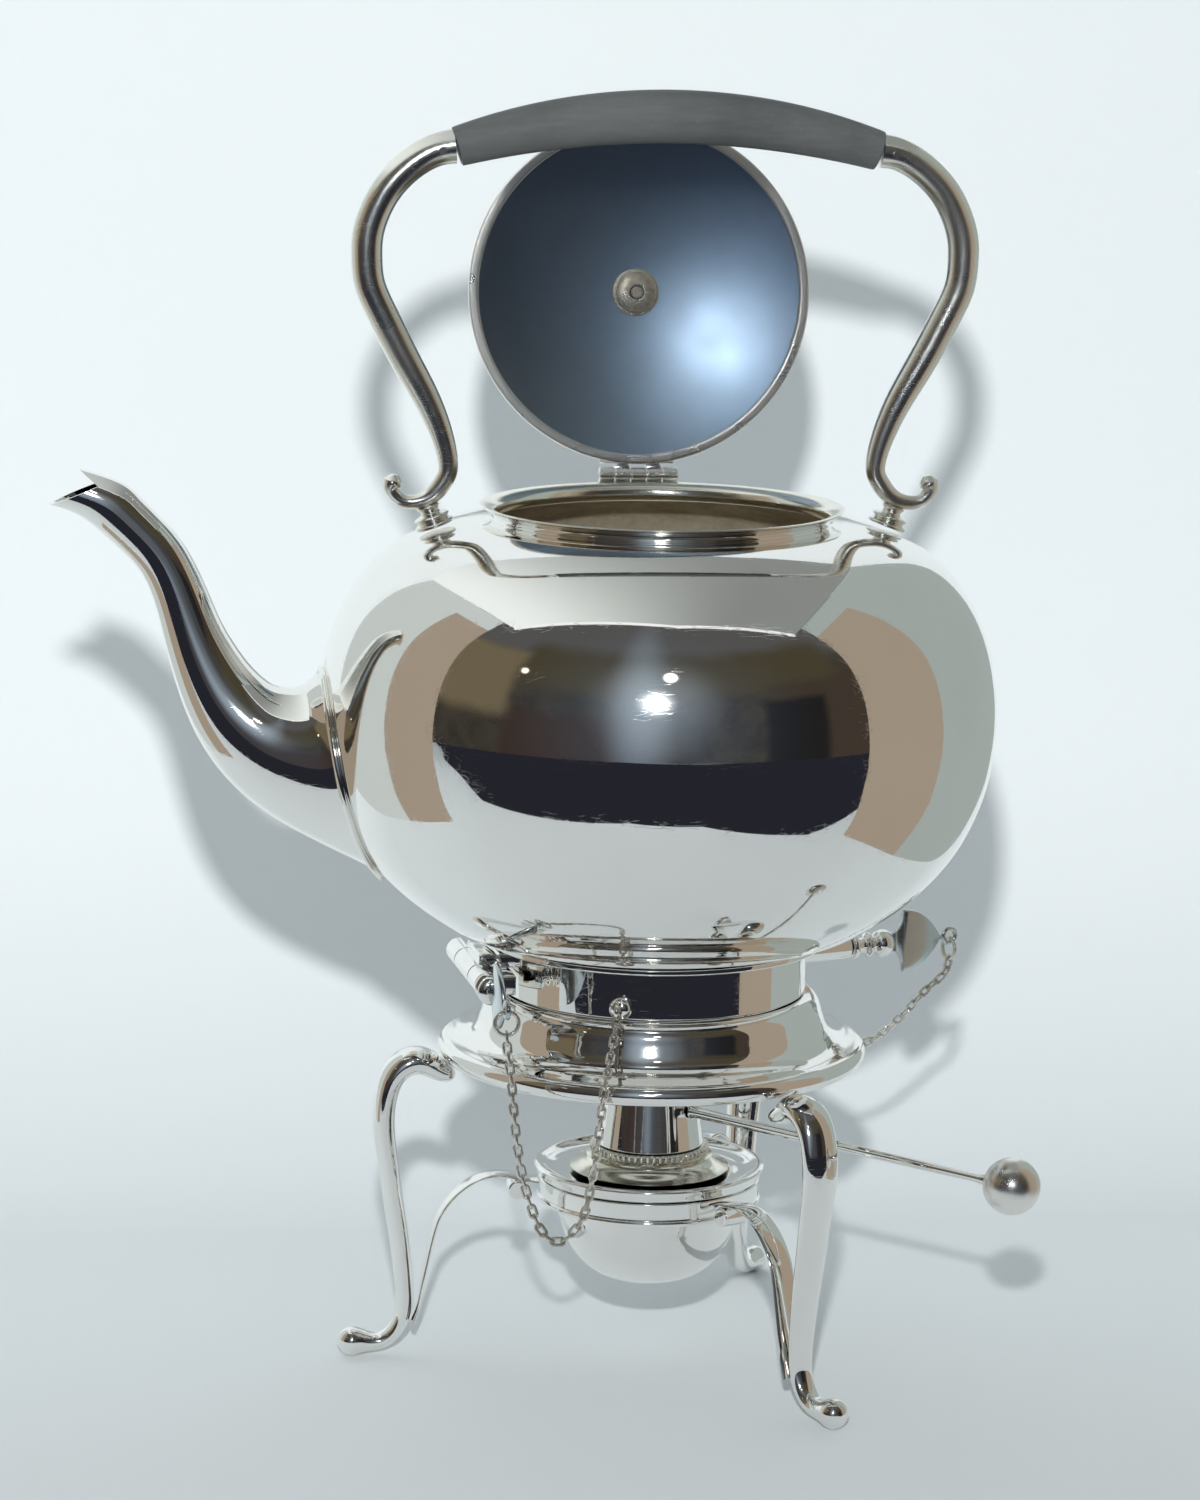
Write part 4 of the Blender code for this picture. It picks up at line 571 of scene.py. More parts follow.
# %% Dark grip
def grip_finish(name):
    finish, start, shader = new_finish(name)
    place = object_place(start)
    along = place.node(
        "ShaderNodeMapping", {}, {"Vector": place, "Scale": (1.0, 8.0, 8.0)}
    )
    grain = noise(along, 90.0, 5.0, 0.6)
    pores = noise(along, 330.0, 3.0, 0.7).between(0.56, 0.74)
    dust = noise(place, 900.0, 2.0).between(0.6, 0.8)
    worn = noise(place, 26.0, 3.0).between(0.35, 0.7)
    tint = (grain * 0.5 + worn * 0.3 + dust * 0.25).tinted(
        (0.050, 0.054, 0.055), (0.135, 0.140, 0.140)
    )
    rough = 0.42 + worn * 0.10 + pores * 0.2
    fine = bumped(grain * 0.4 - pores, 0.35, 0.00016)
    feed(start, shader, Base_Color=tint, Roughness=rough, Metallic=0.0, Normal=fine)
    return finish


dark_grip = grip_finish("dark_grip")
print("grip finish:", dark_grip.name)

# %% Cotton wick
def cotton_finish(name):
    finish, start, shader = new_finish(name)
    place = object_place(start)
    strands = noise(place, 1400.0, 3.0, 0.7)
    scorched = noise(place, 160.0, 3.0).between(0.35, 0.6)
    tint = (strands * 0.4 + scorched * 0.6).tinted((0.60, 0.55, 0.45), (0.10, 0.085, 0.07))
    fine = bumped(strands, 0.8, 0.0004)
    feed(start, shader, Base_Color=tint, Roughness=0.95, Metallic=0.0, Normal=fine)
    return finish


cotton = cotton_finish("cotton")
print("wick finish:", cotton.name)

# %% [markdown]
# ## Chains
#
# Each pin hangs on a short chain, so that it isn't lost when it is pulled out. The links
# are ovals of thin wire, and each is turned a quarter from the last. They are laid along
# the same route as the plain tube in the model, and the last link at each end goes round
# the ring that holds it. The chains come early, because what they hang from depends on
# them.

# %% Chain tools
LINK_WIRE = 0.00041
LINK_PITCH = 0.00275
LINK_HALF_WIDTH = 0.00090


def link(at, ahead, face):
    """One oval link, long along `ahead`, with `face` square to its plane."""
    ahead, face = ahead / np.linalg.norm(ahead), face / np.linalg.norm(face)
    side = np.cross(face, ahead)
    bend = LINK_HALF_WIDTH
    half = LINK_PITCH / 2 + LINK_WIRE - bend
    path = []
    for i in range(10):
        a = math.pi * i / 9
        path.append((half + bend * math.sin(a), bend * math.cos(a)))
    for i in range(10):
        a = math.pi * i / 9
        path.append((-half - bend * math.sin(a), -bend * math.cos(a)))
    centres = [at + ahead * x + side * y for x, y in path]
    rings = []
    for i, centre in enumerate(centres):
        on = centres[(i + 1) % 20] - centres[i - 1]
        out = np.cross(on, face)
        out = out / np.linalg.norm(out) * LINK_WIRE
        rings.append(ring_of(centre, out, face * LINK_WIRE, 8))
    return skin(rings, looped=True)


def links_along(route, first_face, last_face):
    """Links along a route. The faces of the two end links are given."""
    lengths = np.append(0, np.cumsum(np.linalg.norm(np.diff(route, axis=0), axis=1)))
    count = round(lengths[-1] / LINK_PITCH) + 1
    at = np.linspace(0, lengths[-1], count)
    places = np.stack([np.interp(at, lengths, route[:, i]) for i in range(3)], -1)
    ahead = np.gradient(places, axis=0)
    ahead /= np.linalg.norm(ahead, axis=1)[:, None]
    face = np.array(first_face, float)
    faces = []
    for step in ahead:
        face = face - step * face.dot(step)
        face /= np.linalg.norm(face)
        faces.append(face)
    goal = np.array(last_face, float)
    goal = goal - ahead[-1] * goal.dot(ahead[-1])
    side = np.cross(ahead[-1], faces[-1])
    off = math.atan2(goal.dot(side), goal.dot(faces[-1])) - (count - 1) * math.pi / 2
    off = (off + math.pi / 2) % math.pi - math.pi / 2
    shapes = []
    for i in range(count):
        turn = i * math.pi / 2 + off * i / (count - 1)
        side = np.cross(ahead[i], faces[i])
        shapes.append(link(places[i], ahead[i], faces[i] * math.cos(turn) + side * math.sin(turn)))
    return shapes, lengths[-1], count


sample = link(np.zeros(3), np.array((0, 0, 1.0)), np.array((1.0, 0, 0)))
print("a link has", len(sample[1]), "faces")

# %% Chain routes
HINGE_CHAIN = (
    (-0.0445, -0.0513, 0.1003), (-0.0443, -0.0514, 0.0975), (-0.0432, -0.0516, 0.0893),
    (-0.0420, -0.0520, 0.0762), (-0.0404, -0.0525, 0.0656), (-0.0388, -0.0530, 0.0591),
    (-0.0362, -0.0535, 0.0520), (-0.0340, -0.0540, 0.0485), (-0.0315, -0.0545, 0.0470),
    (-0.0282, -0.0550, 0.0482), (-0.0250, -0.0555, 0.0525), (-0.0233, -0.0560, 0.0583),
    (-0.0213, -0.0567, 0.0718), (-0.0202, -0.0572, 0.0840), (-0.0194, -0.0568, 0.0893),
    (-0.0178, -0.0515, 0.0935), (-0.0159, -0.0455, 0.0989), (-0.0152, -0.0436, 0.1024),
)
LOCK_CHAIN = (
    (0.0875, 0.0348, 0.0986), (0.0872, 0.0349, 0.0966), (0.0856, 0.0351, 0.0942),
    (0.0829, 0.0355, 0.0918), (0.0798, 0.0360, 0.0883), (0.0762, 0.0370, 0.0838),
    (0.0717, 0.0380, 0.0790), (0.0663, 0.0390, 0.0751), (0.0600, 0.0410, 0.0734),
    (0.0545, 0.0430, 0.0750), (0.0495, 0.0440, 0.0800), (0.0450, 0.0440, 0.0862),
    (0.0405, 0.0415, 0.0925), (0.0355, 0.0384, 0.0956), (0.0319, 0.0361, 0.0989),
    (0.0306, 0.0346, 0.1024),
)


def hung_chain(name, points, first_face, last_face):
    """A chain of links along a bent route between the stand and its pin."""
    route = eased(points, 6, firm=8)
    shapes, length, count = links_along(route, first_face, last_face)
    chain = made_of(name, shapes, link_silver)
    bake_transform(chain)
    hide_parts(name)
    chain.name = name + "_links"
    print(name, count, "links, %.0f mm" % (1000 * length))
    return chain


HINGE_SIDE, LOCK_SIDE, NEAR_EYELET, BACK_EYELET = 185.2, 21.7, 250.8, 48.5
hinge_out, lock_out = tangent_at(HINGE_SIDE), np.array(bearing(LOCK_SIDE))[:3, 0]
near_loop, back_loop = (
    np.cross(radial(azimuth, 0.5, -0.866), tangent_at(azimuth))
    for azimuth in (NEAR_EYELET, BACK_EYELET)
)
hung_chain("hinge_pin_chain", HINGE_CHAIN, (1, 0, 0), near_loop)
hung_chain("lock_pin_chain", LOCK_CHAIN, np.cross(lock_out, (0, 0, 1)), back_loop)

# %% [markdown]
# ## The kettle's body
#
# The body is one raised sheet of silver: a wide, low globe that turns in sharply to the
# neck. It is built as an outer and an inner skin, so that the inside can be dull.

# %% Body outline
BODY_TOP, BODY_BOTTOM = 0.2280, 0.1166
BODY_OUTLINE = (
    (0.0449, 0.994), (0.0500, 0.991), (0.0557, 0.981), (0.0657, 0.949), (0.0738, 0.899),
    (0.0800, 0.837), (0.0846, 0.765), (0.0879, 0.675), (0.0894, 0.585), (0.0896, 0.540),
    (0.0895, 0.496), (0.0882, 0.406), (0.0851, 0.316), (0.0801, 0.226), (0.0718, 0.136),
    (0.0621, 0.065), (0.0531, 0.018), (0.0440, 0.000),
)


def body_curve(inset=0.0):
    """The body's outline from the neck down, moved inwards by `inset`."""
    points = [(r, BODY_BOTTOM + (BODY_TOP - BODY_BOTTOM) * z) for r, z in BODY_OUTLINE]
    curve = eased(points, 7, firm=2)
    ahead = np.gradient(curve, axis=0)
    ahead /= np.linalg.norm(ahead, axis=1)[:, None]
    return curve + np.stack([ahead[:, 1], -ahead[:, 0]], -1) * inset


def body_reach(height):
    """The body's outer radius at a height."""
    curve = body_curve()[::-1]
    return float(np.interp(height, curve[:, 1], curve[:, 0]))


outer, inner = body_curve(), body_curve(0.0012)
outer_shape = turned(list(outer) + [(0.0, BODY_BOTTOM)], 160)
inner_shape = (*turned([tuple(outer[0])] + list(inner) + [(0.0, BODY_BOTTOM + 0.0012)], 160), 1)
body = made_of("body_skin", [outer_shape, inner_shape], bright_silver, inside_silver)
print("widest radius %.1f mm" % (1000 * outer[:, 0].max()))

# %% [markdown]
# The spout is a bent cone of sheet, seamed underneath. Its sections are ovals that are set
# by the line of its underside, the line of its top, and its width. The mouth is a beak: a
# short upper lip over a longer lower one.

# %% Spout sections
SPOUT_SECTIONS = (
    (0.0600, 0.1256, 0.0769, 0.1892, 0.0275), (0.0703, 0.1313, 0.0885, 0.1872, 0.0250),
    (0.0780, 0.1357, 0.0938, 0.1833, 0.0215), (0.0937, 0.1436, 0.0993, 0.1828, 0.0175),
    (0.1092, 0.1539, 0.1031, 0.1844, 0.0143), (0.1209, 0.1683, 0.1077, 0.1886, 0.0115),
    (0.1276, 0.1849, 0.1122, 0.1948, 0.0094), (0.1314, 0.1994, 0.1161, 0.2017, 0.0080),
    (0.1338, 0.2075, 0.1201, 0.2110, 0.0073), (0.1367, 0.2135, 0.1246, 0.2197, 0.0068),
    (0.1414, 0.2188, 0.1298, 0.2264, 0.0065), (0.1471, 0.2241, 0.1359, 0.2324, 0.0063),
    (0.1534, 0.2287, 0.1414, 0.2370, 0.0060), (0.1620, 0.2315, 0.1531, 0.2407, 0.0048),
)


def spout_rings(growth, sides=64):
    """The spout's sections, made larger or smaller all round."""
    rings = []
    for under_x, under_z, top_x, top_z, half_width in eased(SPOUT_SECTIONS, 9, firm=2):
        under, top = np.array((-under_x, 0, under_z)), np.array((-top_x, 0, top_z))
        across = (top - under) / 2
        half = np.linalg.norm(across)
        across *= (half + growth) / half
        rings.append(ring_of((under + top) / 2, across, (0, half_width + growth, 0), sides))
    return np.array(rings)


outside, inside = spout_rings(0.0), spout_rings(-0.0009)
tube_rings = np.concatenate([outside, inside[::-1]])
spout = made_of("spout_skin", [skin(tube_rings, looped=True)], bright_silver)
print("spout sections:", len(outside))

# %% Spout trimmed to the body and to its beak
fill = list(body_curve(-0.0002)) + [(0.0, BODY_BOTTOM - 0.0002)]
body_fill = made_of("body_fill", [turned([(0.0, BODY_TOP)] + fill, 160)], bright_silver)
carved(spout, body_fill)
BEAK = ((0.1475, 0.2363), (0.1680, 0.2538), (0.1737, 0.2538), (0.1737, 0.2255))
wedge = [[(-x, y, z) for x, z in BEAK] for y in (-0.02, 0.02)]
carved(spout, made_of("beak_wedge", [skin(wedge)], bright_silver))
seated(spout, "kettle", "polished_silver", "spout")

# %% [markdown]
# Where the spout meets the body, a thin raised moulding hides the solder. Its path is
# found, not guessed: along each line of the spout's skin, it is the point where the skin
# leaves the body.

# %% Moulding round the spout's root
def where_it_leaves(rings):
    """The closed line where the spout's skin comes out of the body."""
    line = []
    for i in range(rings.shape[1]):
        track = rings[:, i]
        over = np.hypot(track[:, 0], track[:, 1]) - [body_reach(z) for z in track[:, 2]]
        j = int(np.argmax(over > 0))
        share = over[j - 1] / (over[j - 1] - over[j])
        line.append(track[j - 1] + (track[j] - track[j - 1]) * share)
    return np.array(line)


root_line = where_it_leaves(spout_rings(0.0003, 96))
ahead = np.roll(root_line, -1, 0) - np.roll(root_line, 1, 0)
off_axis = root_line * np.array((1, 1, 0)) + np.array((0, 0, 1)) * 0.25 * (root_line[:, 2:] - 0.182)
beads = []
for centre, step, out in zip(root_line, ahead, off_axis):
    step = step / np.linalg.norm(step)
    out = out - step * out.dot(step)
    out = out / np.linalg.norm(out)
    beads.append(ring_of(centre + out * 0.0006, out * 0.0009, np.cross(step, out) * 0.0012, 14))
band = made_of("spout_root_moulding", [skin(beads, looped=True)], bright_silver)
seated(band, "kettle", "polished_silver", "spout_band")

# %% Hole behind the spout
start, end = Vector((-0.0965, 0, 0.1632)), Vector((-0.0688, 0, 0.1546))
hole = turned(
    [(0.014, 0.0), (0.014, (end - start).length)], 48, at=start, along=end - start, capped=True
)
carved(body, made_of("pour_hole", [hole], inside_silver))
seated(body, "kettle", "polished_silver", "kettle_body")

# %% [markdown]
# The neck is a separate turned collar. Its lip flares over a low wall that stands on the
# shoulder. It has two skins, because the lip and the inside look warmer than the wall.
# Under the body, a plain foot ring sits on the stand.

# %% Neck and foot ring
lip_outline = [
    (0.0452, 0.2267), (0.0444, 0.2266), (0.0438, 0.2268), (0.0438, 0.2284), (0.0443, 0.2297),
    (0.0455, 0.2306), (0.0469, 0.2310), (0.0477, 0.2310), (0.0479, 0.2308), (0.0476, 0.2305),
]
wall_outline = [
    (0.0476, 0.2305), (0.0464, 0.2301), (0.0453, 0.2294), (0.0447, 0.2286), (0.0445, 0.2277),
    (0.0448, 0.2273), (0.0456, 0.2271), (0.0452, 0.2267),
]
lip_shape, wall_shape = turned(eased(lip_outline, 4), 192), turned(eased(wall_outline, 4), 192)
neck = made_of("neck_collar", [lip_shape, (*wall_shape, 1)], warm_silver, bright_silver)
seated(neck, "kettle", "polished_silver", "kettle_neck")
foot_outline = hollow_bar(0.0404, 0.0460, 0.1148, 0.1163, 0.0004)
foot = made_of("foot_ring", [turned(foot_outline, 144, True)], bright_silver)
seated(foot, "kettle", "polished_silver", "kettle_base_ring")

# %% [markdown]
# ## The handle
#
# Each arm is a forged silver rod that thins from the grip down to a curled scroll, and
# stands on a small turned foot. A rod is swept along its own centre line. The two sides
# mirror each other.

# %% Handle arms
ARM_PATH = (
    (0.713, 1.000, 1.00), (0.782, 0.987, 0.95), (0.866, 0.942, 0.92), (0.944, 0.868, 0.91),
    (0.992, 0.773, 0.91), (1.000, 0.698, 0.91), (0.990, 0.615, 0.90), (0.945, 0.528, 0.90),
    (0.875, 0.410, 0.88), (0.801, 0.298, 0.80), (0.748, 0.195, 0.68), (0.722, 0.105, 0.58),
    (0.736, 0.061, 0.56), (0.763, 0.028, 0.54), (0.800, 0.006, 0.48), (0.848, -0.002, 0.42),
    (0.888, 0.008, 0.40), (0.911, 0.034, 0.44), (0.909, 0.050, 0.56), (0.904, 0.062, 0.50),
    (0.900, 0.076, 0.22),
)
FOOT_OUTLINE = (
    (0.0, 1.00), (0.50, 1.00), (0.62, 0.93), (0.50, 0.78), (0.55, 0.62), (0.84, 0.52),
    (0.94, 0.40), (0.80, 0.27), (0.98, 0.16), (1.03, 0.06), (1.00, 0.00), (0.0, 0.00),
)


ARM_REACH, ARM_LOW, ARM_RISE, ARM_HALF = 0.0783, 0.23198, 0.0922, 0.0045
FOOT_HALF, FOOT_TALL, FOOT_LEAN = 0.0050, 0.0056, math.radians(20)


def handle_arm(side, sign):
    """One arm with its foot and the small pin that holds the grip."""
    path = eased(ARM_PATH, 8)
    centres = [(sign * ARM_REACH * x, 0, ARM_LOW + ARM_RISE * z) for x, z, _ in path]
    reach = [ARM_HALF * share for _, _, share in path]
    rod_shape = swept(centres, reach, reach, (0, 1, 0), 32)
    arm = made_of("handle_arm_rod_" + side, [rod_shape], satin_silver)
    seated(arm, "kettle", "polished_silver", "handle_arm_" + side)
    lean = (sign * math.sin(FOOT_LEAN), 0, math.cos(FOOT_LEAN))
    outline = [(FOOT_HALF * r, FOOT_TALL * z) for r, z in eased(FOOT_OUTLINE[1:-1], 5)]
    outline = [(0.0, FOOT_TALL)] + outline + [(0.0, 0.0)]
    foot_shape = turned(outline, 48, at=(sign * 0.0599, 0, 0.22566), along=lean)
    foot = made_of("handle_foot_turned_" + side, [foot_shape], satin_silver)
    seated(foot, "kettle", "polished_silver", "handle_foot_" + side)
    pin_at = (sign * 0.0592, -0.0046, 0.3234)
    pin_shape = turned([(0, 0), (0.0010, 0), (0.0010, 0.0090), (0.0007, 0.0093), (0, 0.0094)], 16,
                       at=pin_at, along=(0, 1, 0))
    pin = made_of("grip_rivet_" + side, [pin_shape], plain_silver)
    seated(pin, "kettle", "polished_silver", "grip_pin_" + side)


handle_arm("spout_side", -1)
handle_arm("lock_side", 1)

# %% [markdown]
# The grip is one turned and bent bar, fattest in the middle, with a soft edge where it
# meets the silver.

# %% Grip
GRIP_HALF_SPAN, GRIP_ARCH, GRIP_TOP, GRIP_HALF = 0.0553, 0.0083, 0.3324, 0.00695


def grip_shape():
    """The bar between the two arms, on a long arc."""
    radius = (GRIP_HALF_SPAN**2 + GRIP_ARCH**2) / (2 * GRIP_ARCH)
    sweep = math.asin(GRIP_HALF_SPAN / radius)
    half = [(0.745,), (0.86,), (0.94,), (0.985,)]
    shares = eased(half + [(1.0,)] + half[::-1], 8)
    centres, reach = [], []
    for i, share in enumerate(shares[:, 0]):
        angle = sweep * (2 * i / (len(shares) - 1) - 1)
        centres.append((radius * math.sin(angle), 0, GRIP_TOP - radius * (1 - math.cos(angle))))
        reach.append(GRIP_HALF * share)
    for end, inner_end in ((0, 1), (-1, -2)):
        step = np.array(centres[end]) - np.array(centres[inner_end])
        step /= np.linalg.norm(step)
        at = np.array(centres[end])
        extra = [at - step * 0.0006, at - step * 0.0002, at]
        sizes = [reach[end], reach[end] * 0.985, reach[end] * 0.90]
        if end == 0:
            centres, reach = extra[::-1] + centres[1:], sizes[::-1] + reach[1:]
        else:
            centres, reach = centres[:-1] + extra, reach[:-1] + sizes
    return swept(centres, reach, reach, (0, 1, 0), 40)


grip = made_of("grip_bar", [grip_shape()], dark_grip)
seated(grip, "kettle", "black_grip", "handle_grip")

# %% [markdown]
# ## The lid
#
# The lid is drawn closed, where its measures are simple, and then swung open round its
# hinge by the same angle as in the model: a little past upright.

# %% Lid shell and rim
LID_HINGE_Y, LID_HINGE_Z = 0.0496, 0.2326
LID_RADIUS, LID_LOW, LID_RISE = 0.0467, 0.2348, 0.0072
HINGE_AT = Vector((0, LID_HINGE_Y, LID_HINGE_Z))
swing_open = (
    Matrix.Translation(HINGE_AT)
    @ Matrix.Rotation(math.radians(-95.5), 4, "X")
    @ Matrix.Translation(-HINGE_AT)
)


def dome(radius):
    """The height of the lid's top at this radius."""
    return LID_LOW + LID_RISE * (1 - (radius / LID_RADIUS) ** 2)


lid_middle = swing_open @ Vector((0, 0, 0.2410)) + AXIS
lid_inside_painted_reflection = wiped_round("lid_inside_painted_reflection", lid_middle)
rows = np.linspace(0.0019, 0.0465, 22)
top_skin = [(r, dome(r)) for r in rows]
under_skin = [(r, dome(r) - 0.0010) for r in rows]
over_skin = [tuple(under_skin[-1])] + top_skin[::-1] + [tuple(under_skin[0])]
outside_shape = moved(turned(over_skin, 160), swing_open)
inside_shape = (*moved(turned(under_skin, 160), swing_open), 1)
lid = made_of("lid_dome", [outside_shape, inside_shape], bright_silver, lid_inside_painted_reflection)
seated(lid, "lid", "polished_silver", "lid_shell")
rim_outline = hollow_bar(0.0440, 0.0467, 0.2313, 0.2335, 0.0006)
rim = made_of("lid_rim", [moved(turned(rim_outline, 160, True), swing_open)], hinge_silver)
seated(rim, "lid", "polished_silver", "lid_bezel")

# %% [markdown]
# In the middle of the lid, a washer and a round nut hold the knob's screw. They are small
# turned pieces, never quite clean.

# %% Washer, nut and screw
def lid_turned(name, outline, finish, slot, node, edge=0.0003, steps=64):
    shape = moved(turned(edged(outline, edge, True), steps, True), swing_open)
    return seated(made_of(name, [shape], finish), "lid", slot, node)


washer_top = dome(0.0065) - 0.0013
lid_turned("nut_washer", [(0.0019, washer_top), (0.0065, washer_top), (0.0064, washer_top - 0.0007),
           (0.0019, washer_top - 0.0008)], fitting_silver, "worn_silver", "lid_washer")
nut_top = washer_top - 0.0011
lid_turned("round_nut", [(0.0019, nut_top), (0.0056, nut_top), (0.0054, nut_top - 0.0017),
           (0.0040, nut_top - 0.0021), (0.0019, nut_top - 0.0021)],
           fitting_silver, "worn_silver", "lid_nut")
screw_tip = nut_top - 0.0031
screw = turned([(0.0, screw_tip), (0.0011, screw_tip), (0.0016, screw_tip + 0.0005),
                (0.0016, 0.2419), (0.0, 0.2419)], 32)
screw = made_of("knob_screw", [moved(screw, swing_open)], fitting_silver)
seated(screw, "lid", "worn_silver", "lid_stud")

# %% Knob on the lid
base_outline = eased(
    [(0.0085, 0.2423), (0.0068, 0.2433), (0.0043, 0.2444), (0.0051, 0.2453), (0.0038, 0.2458)], 6
)
base = turned([(0.0, 0.2423)] + list(base_outline) + [(0.0, 0.2458)], 64)
base = made_of("knob_base", [moved(base, swing_open)], bright_silver)
seated(base, "lid", "polished_silver", "finial_base")
knob_outline = eased(
    [(0.0040, 0.2461), (0.0052, 0.2488), (0.0080, 0.2519), (0.0095, 0.2556), (0.0088, 0.2590),
     (0.0059, 0.2621), (0.0017, 0.2631)], 6)
knob = turned([(0.0, 0.2461)] + list(knob_outline) + [(0.0, 0.2631)], 64)
knob = made_of("knob_turned", [moved(knob, swing_open)], dark_grip)
seated(knob, "lid", "black_grip", "finial_knob")

# %% [markdown]
# The lid's hinge has five knuckles on one thin pin: three belong to the kettle and two to
# the lid. Each set is one piece with its leaf.

# %% Lid hinge
HINGE_LENGTH, KNUCKLE_GAP, LEAF_MIDDLE = 0.0215, 0.0003, 0.0427


def knuckle_span(number):
    length = (HINGE_LENGTH - KNUCKLE_GAP * 4) / 5
    start = -HINGE_LENGTH / 2 + number * (length + KNUCKLE_GAP)
    return start, start + length


def knuckle(number, turn):
    start, end = knuckle_span(number)
    outline = solid_bar(0.00205, 0.0, end - start, 0.00025)
    at = (start, LID_HINGE_Y, LID_HINGE_Z)
    return moved(turned(outline, 32, at=at, along=(1, 0, 0)), turn)


still = Matrix()
fixed = [knuckle(number, still) for number in (0, 2, 4)]
fixed.append(block((-HINGE_LENGTH / 2, 0.0499, 0.2268), (HINGE_LENGTH / 2, 0.05165, 0.2302)))
for number in (0, 2, 4):
    start, end = knuckle_span(number)
    fixed.append(block((start, 0.0499, 0.2291), (end, 0.05165, LID_HINGE_Z)))
leaf = made_of("hinge_leaf_fixed", fixed, hinge_silver)
seated(leaf, "kettle", "polished_silver", "lid_leaf_fixed")
swung = [knuckle(number, swing_open) for number in (1, 3)]
slope = math.atan(2 * LID_RISE * LEAF_MIDDLE / LID_RADIUS**2)
leaf_turn = Matrix.Translation((0, LEAF_MIDDLE, dome(LEAF_MIDDLE)))
leaf_turn = leaf_turn @ Matrix.Rotation(-slope, 4, "X")
swung.append(block((-0.01015, -0.0040, 0.0004), (0.01015, 0.0040, 0.0014), swing_open @ leaf_turn))
for number in (1, 3):
    start, end = knuckle_span(number)
    far_end = (end, LID_HINGE_Y, 0.2361)
    swung.append(block((start, 0.0457, 0.2351), far_end, swing_open, 0.0003))
    swung.append(block((start, 0.0470, LID_HINGE_Z), far_end, swing_open, 0.0003))
leaf = made_of("hinge_leaf_swung", swung, hinge_silver)
seated(leaf, "lid", "polished_silver", "lid_leaf_swung")
pin = turned(solid_bar(0.0009, 0, HINGE_LENGTH, 0.0002), 16,
             at=(-HINGE_LENGTH / 2, LID_HINGE_Y, LID_HINGE_Z), along=(1, 0, 0))
pin = made_of("hinge_wire", [pin], plain_silver)
seated(pin, "kettle", "polished_silver", "lid_hinge_pin")

# %% [markdown]
# ## The stand
#
# The kettle's foot sits on a plain gallery ring with a notch for its hinge. Below it, a
# flange spreads in a hollow curve to a half-round edge, and the legs are soldered under
# that edge.

# %% Gallery ring
ring_outline = hollow_bar(0.0390, 0.0409, 0.1017, 0.1145, 0.0003)
gallery = made_of("gallery_band", [turned(ring_outline, 160, True)], bright_silver)
notch = block((0.0350, -0.0138, 0.1103), (0.0449, 0.0138, 0.1185), bearing(HINGE_SIDE))
carved(gallery, made_of("notch", [notch], bright_silver))
hole = turned(
    [(0.00235, 0.0), (0.00235, 0.0100)], 32, at=radial(LOCK_SIDE, 0.0350, 0.1061),
    along=radial(LOCK_SIDE, 1, 0), capped=True,
)
carved(gallery, made_of("pin_hole", [hole], bright_silver))
seated(gallery, "stand", "polished_silver", "stand_ring")

# %% Flange
hollow = eased([
    (0.0410, 0.1014), (0.0422, 0.1012), (0.0436, 0.1002), (0.0448, 0.0983), (0.0453, 0.0965),
    (0.0459, 0.0945), (0.0466, 0.0925), (0.0478, 0.0906), (0.0500, 0.0890), (0.0525, 0.0882),
    (0.0546, 0.0879),
], 5)
edge_turns = [math.pi * (0.5 - i / 16) for i in range(1, 17)]
edge = [(0.0546 + 0.0027 * math.cos(a), 0.0852 + 0.0027 * math.sin(a)) for a in edge_turns]
under = [(r - 0.0014, z - 0.0009) for r, z in hollow[::-1]]
flange_outline = list(hollow) + edge + [(0.0531, 0.0825), (0.0531, 0.0868)] + under[2:]
flange_outline += [(0.0390, 0.1000), (0.0390, 0.1014)]
flange = made_of("flange_spun", [turned(flange_outline, 160, True)], bright_silver)
seated(flange, "stand", "polished_silver", "stand_flange")

# %% [markdown]
# The legs are cast: each springs from a knob under the flange, bows outwards at the knee,
# narrows to the ankle and ends in a small curled toe. A flat strap goes from each ankle,
# up and over, to the ring that holds the burner.

# %% Legs
LEG_PATH = (
    (0.735, 0.900, 0.06, 0.10), (0.742, 0.901, 0.24, 0.42), (0.760, 0.904, 0.42, 0.68),
    (0.800, 0.918, 0.56, 0.84), (0.860, 0.945, 0.68, 0.95), (0.925, 0.934, 0.68, 1.00),
    (0.975, 0.885, 0.62, 1.00), (0.998, 0.800, 0.57, 1.00), (0.998, 0.717, 0.55, 0.98),
    (0.982, 0.628, 0.51, 0.93), (0.960, 0.494, 0.50, 0.85), (0.942, 0.403, 0.49, 0.80),
    (0.928, 0.303, 0.46, 0.73), (0.918, 0.204, 0.43, 0.67), (0.923, 0.131, 0.42, 0.63),
    (0.955, 0.075, 0.40, 0.60), (1.005, 0.045, 0.42, 0.58), (1.055, 0.042, 0.52, 0.60),
    (1.085, 0.044, 0.66, 0.68), (1.110, 0.044, 0.74, 0.74), (1.135, 0.044, 0.66, 0.66),
    (1.155, 0.044, 0.42, 0.42), (1.165, 0.044, 0.12, 0.12),
)
STRAP_PATH = (
    (0.000, 0.000), (0.043, 0.115), (0.068, 0.240), (0.111, 0.430), (0.169, 0.665),
    (0.233, 0.800), (0.336, 0.915), (0.485, 1.010), (0.632, 1.045), (0.767, 1.040),
    (0.869, 1.020), (0.992, 1.000),
)


LEG_REACH, LEG_TALL, LEG_HALF = 0.0719, 0.0862, 0.0054
STRAP_OUT, STRAP_IN, STRAP_LOW, STRAP_HIGH, STRAP_ROLL = 0.0636, 0.0300, 0.0092, 0.0480, 0.0026


